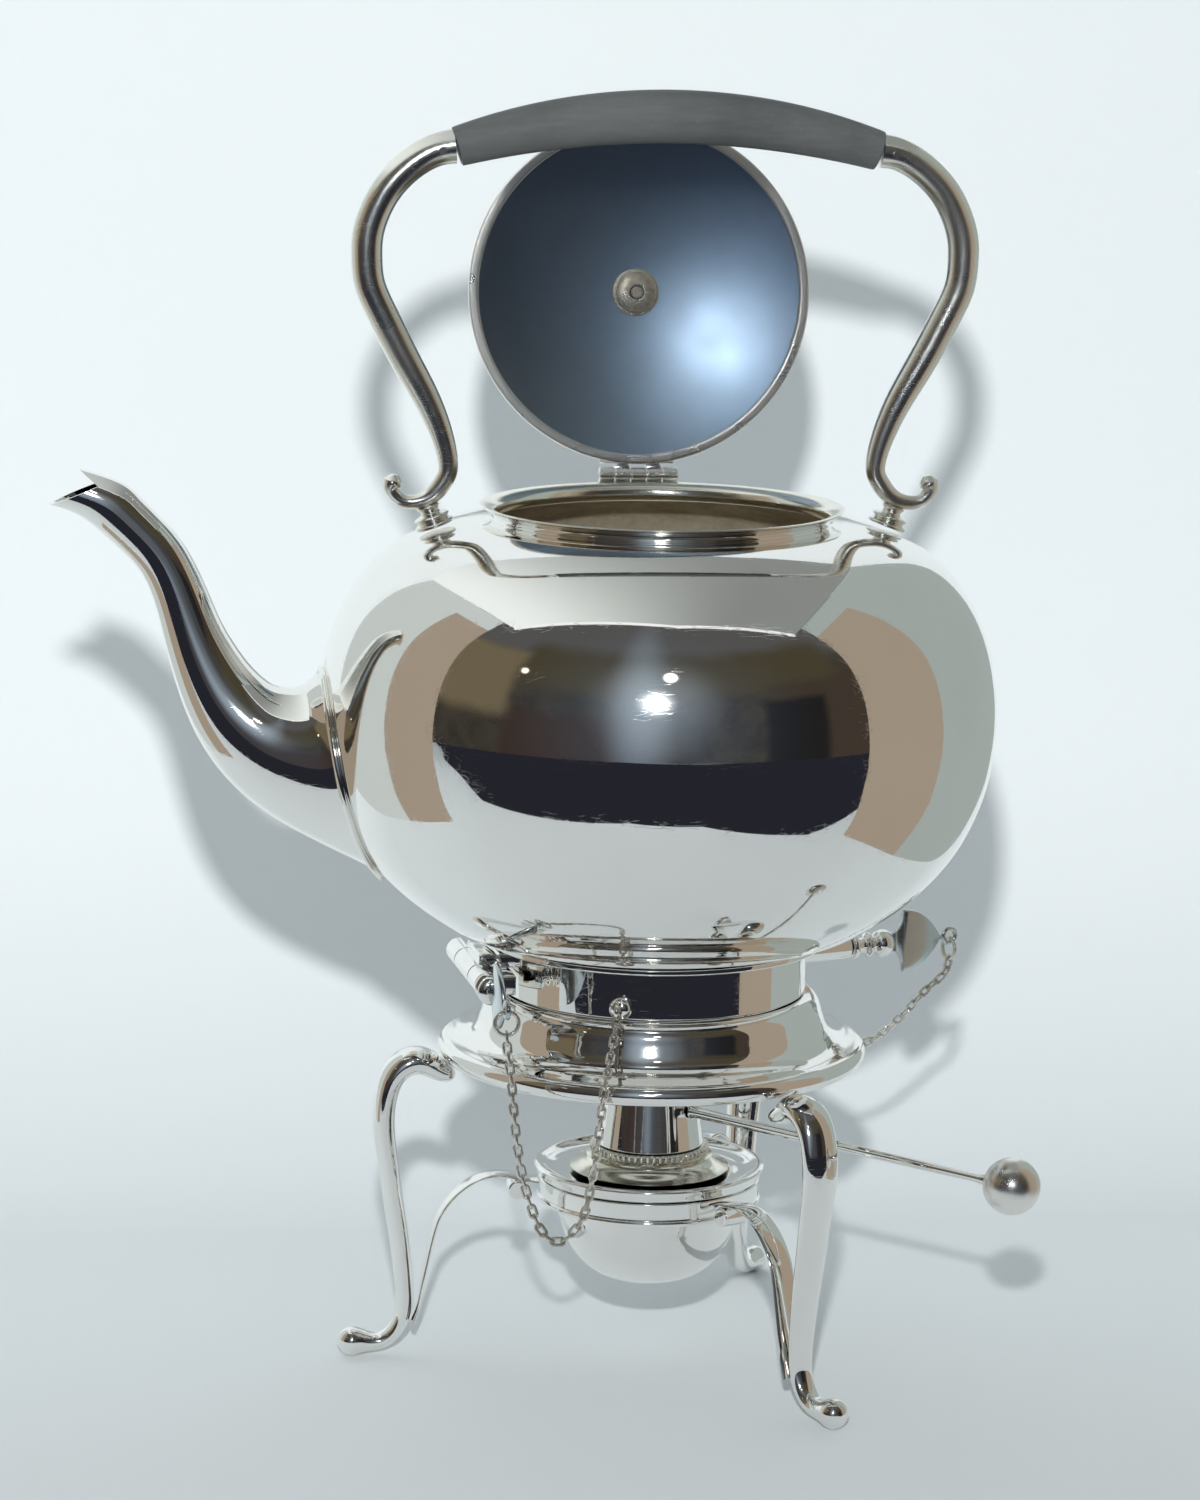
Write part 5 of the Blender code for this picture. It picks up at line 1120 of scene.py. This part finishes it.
def leg(number, azimuth):
    path = eased(LEG_PATH, 7)
    flat = tangent_at(azimuth)
    centres = [radial(azimuth, LEG_REACH * r, LEG_TALL * z) for r, z, _, _ in path]
    shape = swept(centres, path[:, 2] * LEG_HALF, path[:, 3] * LEG_HALF, flat, 32)
    piece = made_of("leg_cast_%d" % number, [shape], bright_silver)
    above = turned([(0, 0.0822), (0.0575, 0.0822), (0.0575, 0.0990), (0, 0.0990)], 96)
    carved(piece, made_of("flange_room", [above], bright_silver))
    seated(piece, "stand", "polished_silver", "leg_%d" % number)


def strap(number, azimuth):
    path = eased(STRAP_PATH, 6)
    flat = tangent_at(azimuth)
    centres = [
        radial(azimuth, STRAP_OUT + (STRAP_IN - STRAP_OUT) * r,
               STRAP_LOW + (STRAP_HIGH - STRAP_LOW) * z)
        for r, z in path
    ]
    count = len(centres)
    band_shape = swept(centres, [0.0007] * count, [0.0037] * count, flat, 20)
    middle = radial(azimuth, 0.0358, 0.0487 - STRAP_ROLL)
    roll_outline = solid_bar(STRAP_ROLL, -0.0037, 0.0037, 0.0005)
    roll_shape = turned(roll_outline, 32, at=middle, along=flat)
    piece = made_of("strap_bent_%d" % number, [band_shape, roll_shape], bright_silver)
    seated(piece, "stand", "polished_silver", "strap_%d" % number)


for number, azimuth in ((1, 180.0), (2, 300.0), (3, 60.0)):
    leg(number, azimuth)
    strap(number, azimuth)

# %% Burner's holder ring
holder_outline = [(0.0283, 0.0490), (0.0283, 0.0430), (0.0287, 0.0428), (0.0293, 0.0428)]
holder_outline += [(0.0299, 0.0430), (0.0301, 0.0436), (0.0299, 0.0441), (0.0295, 0.0443)]
holder_outline += [(0.0294, 0.0447), (0.0294, 0.0484), (0.0297, 0.0487), (0.0297, 0.0490)]
holder_shape = turned(eased(holder_outline + holder_outline[:1], 3, firm=12)[:-1], 160, True)
holder = made_of("holder_band", [holder_shape], bright_silver, sharp=60.0)
seated(holder, "stand", "polished_silver", "burner_holder")

# %% [markdown]
# The kettle tips on a barrel hinge beside the spout. The two outer knuckles belong to the
# stand, and the middle one to the kettle. The pin that joins them can be pulled out.

# %% Tilting hinge
TILT_REACH, TILT_HEIGHT = 0.0490, 0.1078
at_hinge = bearing(HINGE_SIDE)


def hinge_barrel(start, end):
    outline = solid_bar(0.0033, 0, end - start, 0.0004)
    at = (TILT_REACH, start, TILT_HEIGHT)
    return moved(turned(outline, 48, at=at, along=(0, 1, 0)), at_hinge)


for name, start, end in (("far", -0.0218, -0.0097), ("near", 0.0097, 0.0199)):
    web = block((0.0412, start, 0.1048), (TILT_REACH, end, 0.1100), at_hinge)
    piece = made_of("knuckle_" + name, [hinge_barrel(start, end), web], bright_silver)
    seated(piece, "stand", "polished_silver", "hinge_knuckle_" + name)
plate = block((0.0384, -0.0130, 0.1106), (0.0446, 0.0130, 0.1145), at_hinge)
web = block((0.0430, -0.0088, 0.1084), (TILT_REACH, 0.0088, 0.1135), at_hinge)
lug = made_of("kettle_knuckle", [hinge_barrel(-0.0094, 0.0094), plate, web], bright_silver)
seated(lug, "kettle", "polished_silver", "kettle_hinge_lug")

# %% [markdown]
# The second pin goes through a socket on the stand into a lug under the kettle, and keeps
# it from tipping. It is drawn back here, so the kettle is free.

# %% Lock socket and lug
socket_outline = hollow_bar(0.00235, 0.0031, 0.0, 0.0198, 0.0003)
socket = turned(socket_outline, 48, True, at=radial(LOCK_SIDE, 0.0412, 0.1061), along=lock_out)
collar_outline = hollow_bar(0.0030, 0.0040, 0.0, 0.0014, 0.0004)
collar = turned(collar_outline, 48, True, at=radial(LOCK_SIDE, 0.0412, 0.1061), along=lock_out)
socket = made_of("lock_tube", [socket, collar], bright_silver)
seated(socket, "stand", "polished_silver", "lock_socket")
lug = block((0.0366, -0.0050, 0.1021), (0.0382, 0.0050, 0.1163), bearing(LOCK_SIDE), 0.0005)
lug = made_of("lock_lug_plate", [lug], plain_silver)
seated(lug, "kettle", "polished_silver", "kettle_lock_lug")

# %% [markdown]
# Both pins have the same head: a bead, a small baluster and a flat wing to turn them by,
# with an eye for the chain's ring. The wing is a plate cut to a bat-like outline.

# %% Pins
BEAD = ((0.55, 0.00), (0.88, 0.15), (1.00, 0.50), (0.88, 0.85), (0.55, 1.00))
BULB = (
    (0.56, 0.00), (0.56, 0.18), (0.86, 0.26), (0.92, 0.33), (0.62, 0.41), (0.62, 0.48),
    (0.86, 0.56), (1.00, 0.70), (0.90, 0.88), (0.56, 1.00),
)
WING = (
    (0.00, 0.30), (0.08, 0.36), (0.14, 0.50), (0.18, 0.70), (0.19, 0.90), (0.196, 1.01),
    (0.225, 1.02), (0.38, 0.97), (0.56, 0.83), (0.71, 0.60), (0.83, 0.34), (0.92, 0.10),
)


def wing_plate(half_thickness, reach, turn):
    """A flat plate with soft edges, cut to the wing's outline."""
    side = eased([(along * reach, spread * 0.0087) for along, spread in WING], 5)
    outline = np.vstack([side, [[reach - 0.0002, 0.0]], side[::-1] * np.array((1, -1))])
    centre = np.array((reach * 0.45, 0.0))
    rings = []
    for share, lift in ((0.93, 1.0), (0.975, 0.75), (1.0, 0.0), (0.975, -0.75), (0.93, -1.0)):
        flat = centre + (outline - centre) * share
        rings.append([(x, y, lift * half_thickness) for x, y in flat])
    return moved(skin(rings), turn)


BEAD_HALF, BEAD_LONG, BULB_HALF, WING_LONG = 0.0036, 0.0026, 0.0038, 0.0190
EYE, EYE_WIRE, RING, RING_WIRE, SLACK = 0.0020, 0.00068, 0.0031, 0.00055, 0.0003


def pin_set(name, node, tip, bead, outward, eye_reach, body):
    """A pin with its head, the wing with its eye, and the ring that the chain hangs from."""
    tip, bead, outward = np.array(tip), np.array(bead), np.array(outward)
    shaft = np.linalg.norm(bead - tip)
    bulb_length = eye_reach - WING_LONG - BEAD_LONG
    outline = [(0.0, 0.0), (0.0016, 0.0), (0.0020, 0.0005), (0.0020, shaft)]
    outline += [(BEAD_HALF * r, shaft + BEAD_LONG * z) for r, z in eased(BEAD, 4)]
    outline += [(BULB_HALF * r, shaft + BEAD_LONG + bulb_length * z) for r, z in eased(BULB, 4)]
    outline.append((0.0, shaft + BEAD_LONG + bulb_length))
    pin = made_of(name, [turned(outline, 40, at=tip, along=outward)], bright_silver)
    seated(pin, body, "polished_silver", node)
    up = Vector((0, 0, 1))
    out = Vector(outward)
    wing_start = Vector(bead + outward * (0.0029 + bulb_length))
    turn = Matrix((out, up, out.cross(up))).transposed().to_4x4()
    turn.translation = wing_start
    eye = Vector(bead + outward * eye_reach)
    reach = (eye - wing_start).length - EYE
    plate = wing_plate(0.00075, reach, turn)
    loop = hoop(EYE, EYE_WIRE, eye, up.cross(out))
    wing = made_of(name + "_wing_plate", [plate, loop], wing_silver_painted_reflection)
    seated(wing, body, "polished_silver", node + "_wing")
    hang = EYE - EYE_WIRE - SLACK + RING - RING_WIRE
    ring = made_of(name + "_jump_ring", [hoop(RING, RING_WIRE, eye - up * hang, out)], link_silver)
    seated(ring, body, "chain_silver", node + "_link_ring")


def at_tilt(along):
    return np.array(at_hinge @ Vector((TILT_REACH, along, TILT_HEIGHT)))


pin_set("hinge_pin_turned", "hinge_pin", at_tilt(-0.0224), at_tilt(0.02025),
        hinge_out, 0.0268, "hinge_pin")
pin_set("lock_pin_turned", "lock_pin", radial(LOCK_SIDE, 0.0396, 0.1061),
        radial(LOCK_SIDE, 0.06135, 0.1061), lock_out, 0.0328, "lock_pin")

# %% Eyelets for the chains
for name, azimuth in (("near", NEAR_EYELET), ("back", BACK_EYELET)):
    outward = radial(azimuth, 1, 0)
    button = eased([(0.0030, 0.0), (0.0029, 0.0010), (0.0022, 0.0021), (0.0010, 0.0026)], 5)
    outline = [(0.0, 0.0)] + list(button) + [(0.0, 0.0026)]
    button = turned(outline, 40, at=radial(azimuth, 0.0412, 0.1048), along=outward)
    loop = hoop(0.0019, 0.0006, radial(azimuth, 0.0448, 0.1048), tangent_at(azimuth))
    eyelet = made_of("eyelet_" + name, [button, loop], bright_silver)
    seated(eyelet, "stand", "polished_silver", "chain_eyelet_" + name)

# %% [markdown]
# ## The burner
#
# The burner is a small bowl for spirit with a drip dish over it. A knurled collar screws
# the wick holder down, and a loose sleeve with a long handle slides over the wick to
# regulate or put out the flame.

# %% Bowl and dish
BOWL = (
    (1.00, 1.000), (1.00, 0.800), (0.985, 0.640), (0.93, 0.460), (0.83, 0.290), (0.68, 0.140),
    (0.46, 0.040), (0.20, 0.000),
)
BOWL_HALF, BOWL_LOW, BOWL_TALL = 0.0246, 0.0206, 0.0284
bowl_curve = eased([(BOWL_HALF * r, BOWL_LOW + BOWL_TALL * z) for r, z in BOWL], 8)
bowl_inner = [(r - 0.0010, z) for r, z in bowl_curve[:-12]][::-1]
bowl_outline = [(0.0, 0.0216)] + bowl_inner + list(bowl_curve) + [(0.0, BOWL_LOW)]
bowl = made_of("burner_bowl_spun", [turned(bowl_outline, 128)], bright_silver)
seated(bowl, "burner", "polished_silver", "burner_bowl")
DISH = (
    (0.70, 0.42), (0.82, 0.50), (0.90, 0.74), (0.94, 0.96), (0.975, 1.00), (1.00, 0.86),
    (0.995, 0.66), (0.985, 0.50), (0.975, 0.20), (0.96, 0.04),
)
DISH_HALF, DISH_LOW, DISH_TALL = 0.0309, 0.0493, 0.0036
dish_curve = eased([(DISH_HALF * r, DISH_LOW + DISH_TALL * z) for r, z in DISH], 6)
dish_outline = [(0.0068, DISH_LOW), (0.0068, 0.05153), (0.0167, 0.05153), (0.0185, 0.0512)]
dish_outline += list(dish_curve) + [(0.0290, DISH_LOW), (0.0167, DISH_LOW)]
dish = made_of("drip_dish", [turned(dish_outline, 144, True)], bright_silver)
seated(dish, "burner", "polished_silver", "burner_dish")

# %% Collar, wick tube and wick
collar_outline = [
    (0.0068, 0.0581), (0.0142, 0.0581), (0.0150, 0.0581), (0.0158, 0.0578), (0.0160, 0.0576),
    (0.0160, 0.0564), (0.0158, 0.0562), (0.0153, 0.0560), (0.0153, 0.0557), (0.0166, 0.0555),
    (0.0170, 0.0552), (0.0169, 0.0549), (0.0166, 0.0547), (0.0171, 0.0540), (0.0181, 0.0532),
    (0.0196, 0.0525), (0.0214, 0.0520), (0.0214, 0.0518), (0.0068, 0.0518),
]
collar = turned(collar_outline, 480, True, flutes=(60, 0.0005, 3, 7))
collar = made_of("knurled_collar", [collar], warm_silver)
seated(collar, "burner", "worn_silver", "burner_collar")
tube_outline = hollow_bar(0.0057, 0.0065, 0.0493, 0.0786, 0.0002)
tube = made_of("wick_pipe", [turned(tube_outline, 64, True)], fitting_silver)
seated(tube, "burner", "worn_silver", "wick_tube")
wick_outline = eased(
    [(0.0054, 0.0340), (0.0054, 0.0600), (0.0054, 0.0780), (0.0049, 0.0796), (0.0020, 0.0801)], 6
)
wick_shape = turned([(0, 0.0340)] + list(wick_outline) + [(0, 0.0799)], 96)
wick = made_of("wick_cotton", [wick_shape], cotton)
seated(wick, "burner", "cotton_wick", "wick")

# %% Sleeve with its handle
sleeve_outline = edged(
    [(0.0115, 0.0801), (0.0145, 0.0584), (0.0135, 0.0584), (0.0105, 0.0801)], 0.0003, True
)
sleeve = made_of("sleeve_spun", [turned(sleeve_outline, 128, True)], bright_silver)
seated(sleeve, "snuffer", "polished_silver", "snuffer_sleeve")
rod_start, ball_centre = radial(317.4, 0.01360, 0.0688), radial(317.4, 0.1130, 0.0661)
ahead = (ball_centre - rod_start) / np.linalg.norm(ball_centre - rod_start)
rod_end = ball_centre - ahead * 0.0077
length = np.linalg.norm(rod_end - rod_start)
rod_outline = [(0.0, 0.0), (0.0019, 0.0), (0.0020, 0.0006), (0.0016, 0.0016), (0.0015, 0.0030)]
rod_outline += [(0.0011, length - 0.0030), (0.0014, length - 0.0016)]
rod_outline += [(0.0015, length), (0.0, length)]
rod = made_of("handle_rod", [turned(rod_outline, 32, at=rod_start, along=ahead)], bright_silver)
seated(rod, "snuffer", "polished_silver", "snuffer_rod")
BALL_RADIUS = 0.0074
turns = [math.pi * i / 48 for i in range(49)]
ball_outline = [(BALL_RADIUS * math.sin(a), -BALL_RADIUS * math.cos(a)) for a in turns]
ball_shape = turned(ball_outline, 64, at=ball_centre, along=ahead)
ball = made_of("handle_ball", [ball_shape], hinge_silver)
seated(ball, "snuffer", "polished_silver", "snuffer_ball")

# %% [markdown]
# ## The studio
#
# Silver has no look of its own: it shows the room. The kettle stands on a pale sheet that
# rises behind it, inside a small tent that is open at the front. The sheet could be one
# mesh, but a flat floor and a curved rise can each get their own shade. The floor is
# painted greyer towards the front, as painted shade where the lamp's light falls off, and
# the rise gets paler as it climbs.

# %% Floor and backdrop
def stage_finish(name, colour, strength=None):
    """A plain matt finish, or with a strength a board that only glows."""
    finish, start, shader = new_finish(name)
    if strength is None:
        feed(start, shader, Base_Color=(*colour, 1.0), Roughness=0.9, Metallic=0.0)
    else:
        feed(start, shader, Base_Color=(0, 0, 0, 1), Roughness=1.0, Metallic=0.0,
             Emission_Color=(*colour, 1.0), Emission_Strength=strength)
        shader.inputs["Specular IOR Level"].default_value = 0.0
    return finish


FLOOR_PAINTED_SHADE, FLOOR_PALE = (0.47, 0.50, 0.515), (0.74, 0.785, 0.80)
WALL_PALE = (0.82, 0.865, 0.88)


def sheet_of(name, points, faces, finish):
    mesh = bpy.data.meshes.new(name)
    mesh.from_pydata([tuple(point) for point in points], [], faces)
    mesh.materials.append(finish)
    mesh.shade_smooth()
    obj = bpy.data.objects.new(name, mesh)
    bpy.context.scene.collection.objects.link(obj)
    return obj


floor = sheet_of("floor", [(-4, -4, 0), (4, -4, 0), (4, 4, 0), (-4, 4, 0)], [(0, 1, 2, 3)],
                 stage_finish("pale_floor", FLOOR_PALE))
floor_finish = floor.data.materials[0]
start, shader = Wire(floor_finish.node_tree), floor_finish.node_tree.nodes["Principled BSDF"]
place = object_place(start)
# Painted shade: the floor's colour darkens towards the front, where the lamp's light falls off.
shade = place.part(1).between(-0.38, 0.14).tinted(FLOOR_PAINTED_SHADE, FLOOR_PALE)
feed(start, shader, Base_Color=shade)
RISE_FROM, RISE_BEND, RISE_LIFT = 0.12, 0.19, 0.0002
rise = [(RISE_FROM, RISE_LIFT)]
for i in range(1, 25):
    a = math.pi / 2 * i / 24
    rise.append((RISE_FROM + RISE_BEND * math.sin(a), RISE_LIFT + RISE_BEND * (1 - math.cos(a))))
rise.append((RISE_FROM + RISE_BEND, 3.0))
points = [(x, y, z) for y, z in rise for x in (-3.0, 3.0)]
faces = [(2 * i, 2 * i + 1, 2 * i + 3, 2 * i + 2) for i in range(len(rise) - 1)]
wall_finish = stage_finish("pale_wall", WALL_PALE)
wall_start = Wire(wall_finish.node_tree)
front = wall_finish.node_tree.nodes["Principled BSDF"]
place = object_place(wall_start)
feed(wall_start, front, Base_Color=place.part(2).between(-0.01, 0.12).tinted(FLOOR_PALE, WALL_PALE))
clear = wall_start.node("ShaderNodeBsdfTransparent")
from_behind = wall_start.node("ShaderNodeNewGeometry", output="Backfacing")
pale = Wire(wall_finish.node_tree, front.outputs[0])
choice = wall_start.node("ShaderNodeMixShader", {}, {0: from_behind, 1: pale, 2: clear})
output = wall_finish.node_tree.nodes["Material Output"]
wall_finish.node_tree.links.new(choice.socket, output.inputs["Surface"])
wall = sheet_of("backdrop", points, faces, wall_finish)
wall.visible_shadow = False
print("backdrop rises from y = %.2f m" % rise[0][0])

# %% [markdown]
# The tent's walls, its tan cards and its ceiling stand outside the picture, so only
# reflections need them. Real walls would also change the light on the sheet, so each is
# a card that glows by itself and that nothing but a reflection can see.

# %% Boards that only reflections see
CENTRE = AXIS + Vector((0, 0, 0.17))
LAMP = AXIS + Vector((-0.1815, -1.2099, 0.5906))
LAMP_AZIMUTH = math.degrees(math.atan2((LAMP - CENTRE).y, (LAMP - CENTRE).x))
LAMP_ELEVATION = math.degrees(math.asin((LAMP - CENTRE).normalized().z))


def shown(red, green, blue, dimmed=0.93):
    """Light that looks this colour on screen once the silver has dimmed it."""
    return tuple((value / 255) ** 2.2 / dimmed for value in (red, green, blue))


def reflected_only(piece):
    piece.visible_camera = False
    piece.visible_diffuse = False
    piece.visible_shadow = False
    piece.visible_transmission = False
    piece.visible_volume_scatter = False
    return piece


def board(name, corners, colour, second=None, across=(-0.3, 0.3)):
    """A glowing card of one colour, or of two that meet between two values of x."""
    corners = [(x + AXIS.x, y, z) for x, y, z in corners]
    finish = stage_finish(name + "_finish", colour, 1.0)
    if second:
        start, shader = Wire(finish.node_tree), finish.node_tree.nodes["Principled BSDF"]
        share = object_place(start).part(0).between(across[0] + AXIS.x, across[1] + AXIS.x)
        feed(start, shader, Emission_Color=share.tinted(colour, second))
    return reflected_only(sheet_of(name, corners, [tuple(range(len(corners)))], finish))


LEFT, RIGHT, CEILING, BACK = -0.31, 0.245, 0.52, 0.30
CARD_TOP, CARD_STEP, STRIP_LOW, STRIP_HIGH, CLOTH = 0.45, 0.001, 0.513, 0.521, 0.002
TAN = (0.36, 0.30, 0.235)


def side_board(name, x, front, back, top, colour):
    board(name, [(x, front, 0), (x, back, 0), (x, back, top), (x, front, top)], colour)


side_board("left_tan_card", LEFT, -0.07, 0.046, CARD_TOP, TAN)
side_board("left_wall", LEFT - CARD_STEP, -0.07, BACK, CEILING, (0.56, 0.61, 0.60))
side_board("right_tan_card", RIGHT, -0.165, -0.02, CARD_TOP, TAN)
side_board("right_wall", RIGHT + CARD_STEP, -0.165, BACK, CEILING, (0.36, 0.41, 0.395))
ceiling_edge = [(LEFT, -0.106), (LEFT, BACK), (RIGHT, BACK), (RIGHT, -0.20), (0.0, -0.20)]
board("ceiling", [(x, y, CEILING) for x, y in ceiling_edge],
      shown(235, 241, 240), shown(132, 136, 134), (-0.30, 0.12))
strip = [(LEFT, -0.106), (0.0, -0.20), (RIGHT, -0.20)]
board("ceiling_strip", [(x, y, STRIP_HIGH) for x, y in strip]
      + [(x, y - 0.01, STRIP_LOW) for x, y in strip[::-1]], (0.95, 0.97, 0.97))
cloth = [(-2.4, -1.6), (2.4, -1.6), (2.4, -0.20), (0.20, -0.22),
         (0.04, -0.34), (-0.10, -0.34), (-0.40, -0.19), (-2.4, -0.15)]
board("room_floor", [(x, y, CLOTH) for x, y in cloth], shown(40, 41, 48))
print("boards set round the kettle")

# %% [markdown]
# The rest of the room is one big globe that glows by itself and that only reflections see,
# and its finish is a painted map of what stands where: a beige wall on the left, a doorway
# and a brown wall on the right, a navy cloth below, and the painted glow round the lamp.
# Places on it are given as azimuth and elevation in degrees.

# %% Room beyond the tent
ROOM_REACH = 1.7
turns = np.linspace(0, 2 * math.pi, 96, endpoint=False)
rings = [
    [(ROOM_REACH * math.cos(t) * math.cos(a), ROOM_REACH * math.cos(t) * math.sin(a),
      ROOM_REACH * math.sin(t)) for a in turns]
    for t in np.linspace(-1.57, 1.57, 49)
]
room_points, room_faces = skin(rings)
room_finish = stage_finish("room_finish", (0, 0, 0), 1.0)
start, shader = Wire(room_finish.node_tree), room_finish.node_tree.nodes["Principled BSDF"]
place = object_place(start)
x, y, z = (place.part(i) for i in range(3))
azimuth = y.node("ShaderNodeMath", {"operation": "ARCTAN2"}, {0: y, 1: x}) * math.degrees(1)
rise_share = z * (1 / ROOM_REACH)
elevation = z.node("ShaderNodeMath", {"operation": "ARCSINE"}, {0: rise_share}) * math.degrees(1)
ragged = noise(place, 3.0, 3.0) - 0.5


def patch(below, colour, west, east, low, high, soft=4.0, wobble=6.0):
    """The map below, with a soft-edged patch of another colour laid over it."""
    turn, rise = azimuth + ragged * wobble, elevation + ragged * wobble
    inside = turn.between(west - soft, west + soft)
    inside = inside * (1.0 - turn.between(east - soft, east + soft))
    inside = inside * rise.between(low - soft, low + soft)
    inside = inside * (1.0 - rise.between(high - soft, high + soft))
    return below.node("ShaderNodeMix", {"data_type": "RGBA"},
                      {"Factor": inside, 6: below, 7: (*colour, 1.0)}, output=2)


def glow(below, colour, azimuth_at, elevation_at, wide, tall, power=1.0):
    """The map below, with light added round a place."""
    across, up = (azimuth - azimuth_at) * (1 / wide), (elevation - elevation_at) * (1 / tall)
    near = 1.0 - (across * across + up * up) ** 0.5
    near = near.between(0.0, 1.0) ** power
    tint = near.tinted((0, 0, 0), colour)
    return below.node("ShaderNodeMix", {"data_type": "RGBA", "blend_type": "ADD"},
                      {"Factor": 1.0, 6: below, 7: tint}, output=2)


room = noise(place, 5.0, 5.0, 0.6).between(0.3, 0.7).tinted(shown(52, 49, 46), shown(64, 60, 54))
for colour, *place_and_edge in (
    (shown(82, 82, 82), -178, -20, 36, 88, 6),
    (shown(70, 65, 52), -150, -30, 22, 45, 5),
    (shown(58, 48, 42), -150, -100, -8, 12, 4, 12),
    (shown(64, 57, 50), -60, -24, -8, 25, 3),
    (shown(37, 36, 37), -62, -40, -15, 18, 2, 1),
    (shown(104, 95, 76), -190, -149, 8, 38, 3, 4),
    (shown(32, 34, 42), -145, -60, -33, -12, 4, 10),
    (shown(90, 88, 80), -175, -145, -32, -14, 4),
    (shown(30, 44, 82), -84, -62, -22, -8, 2, 2),
):
    room = patch(room, colour, *place_and_edge)
# Painted highlights: a tall faint streak and a broad faint haze, as polish would smear the lamp's
# glint; the lamp's glint with two halos; a second glint above it; a small glint of a room bulb.
for colour, *place_and_size in (
    ((0.12, 0.16, 0.20), -104, 16, 14, 66),
    ((0.02, 0.035, 0.055), -100, 10, 60, 60),
    ((0.17, 0.20, 0.23), LAMP_AZIMUTH, LAMP_ELEVATION, 28, 28),
    ((1.5, 1.55, 1.6), LAMP_AZIMUTH, LAMP_ELEVATION, 9, 9, 1.6),
    ((34.0, 34.0, 33.0), LAMP_AZIMUTH, LAMP_ELEVATION, 4.4, 4.4),
    ((7.0, 7.0, 6.8), LAMP_AZIMUTH + 5, LAMP_ELEVATION + 13, 3.2, 3.2),
    ((4.0, 3.8, 3.2), -146.8, 28.3, 1.8, 1.8),
):
    room = glow(room, colour, *place_and_size)
feed(start, shader, Emission_Color=room)
globe = sheet_of("room_globe", room_points, room_faces, room_finish)
globe.location = CENTRE
reflected_only(globe)
print("room mapped on a globe of %d faces" % len(room_faces))

# %% [markdown]
# One small lamp, just above the camera, gives the crisp shadows on the sheet. Its mirror
# image would be far brighter than the picture can hold, so reflections don't see the
# lamp itself but the glow that the room's map has in the same place. The world fills the
# shadows, and what is seen of it is brighter than the light that it gives.

# %% Lamp and world
AMBIENT = 0.46
lamp = bpy.data.objects.new("key_lamp", bpy.data.lights.new("key_lamp", "AREA"))
lamp.location = LAMP
lamp.rotation_euler = (LAMP - CENTRE).to_track_quat("Z", "Y").to_euler()
lamp.data.shape = "DISK"
lamp.data.size = 0.038
lamp.data.energy = 14.5
lamp.data.color = (1.0, 0.995, 0.98)
lamp.visible_glossy = False
bpy.context.scene.collection.objects.link(lamp)
world = bpy.data.worlds.new("pale_room")
bpy.context.scene.world = world
world.use_nodes = True
ray_kinds = world.node_tree.nodes.new("ShaderNodeLightPath")
seen = Wire(world.node_tree, ray_kinds.outputs["Is Camera Ray"])
seen = seen + Wire(world.node_tree, ray_kinds.outputs["Is Glossy Ray"])
seen = seen + Wire(world.node_tree, ray_kinds.outputs["Is Transmission Ray"])
strength = AMBIENT + seen.between(0.0, 1.0) * (1.0 - AMBIENT)
background = world.node_tree.nodes["Background"]
background.inputs["Color"].default_value = (0.93, 0.97, 1.0, 1.0)
world.node_tree.links.new(strength.socket, background.inputs["Strength"])
print("lamp at", [round(v, 2) for v in lamp.location])
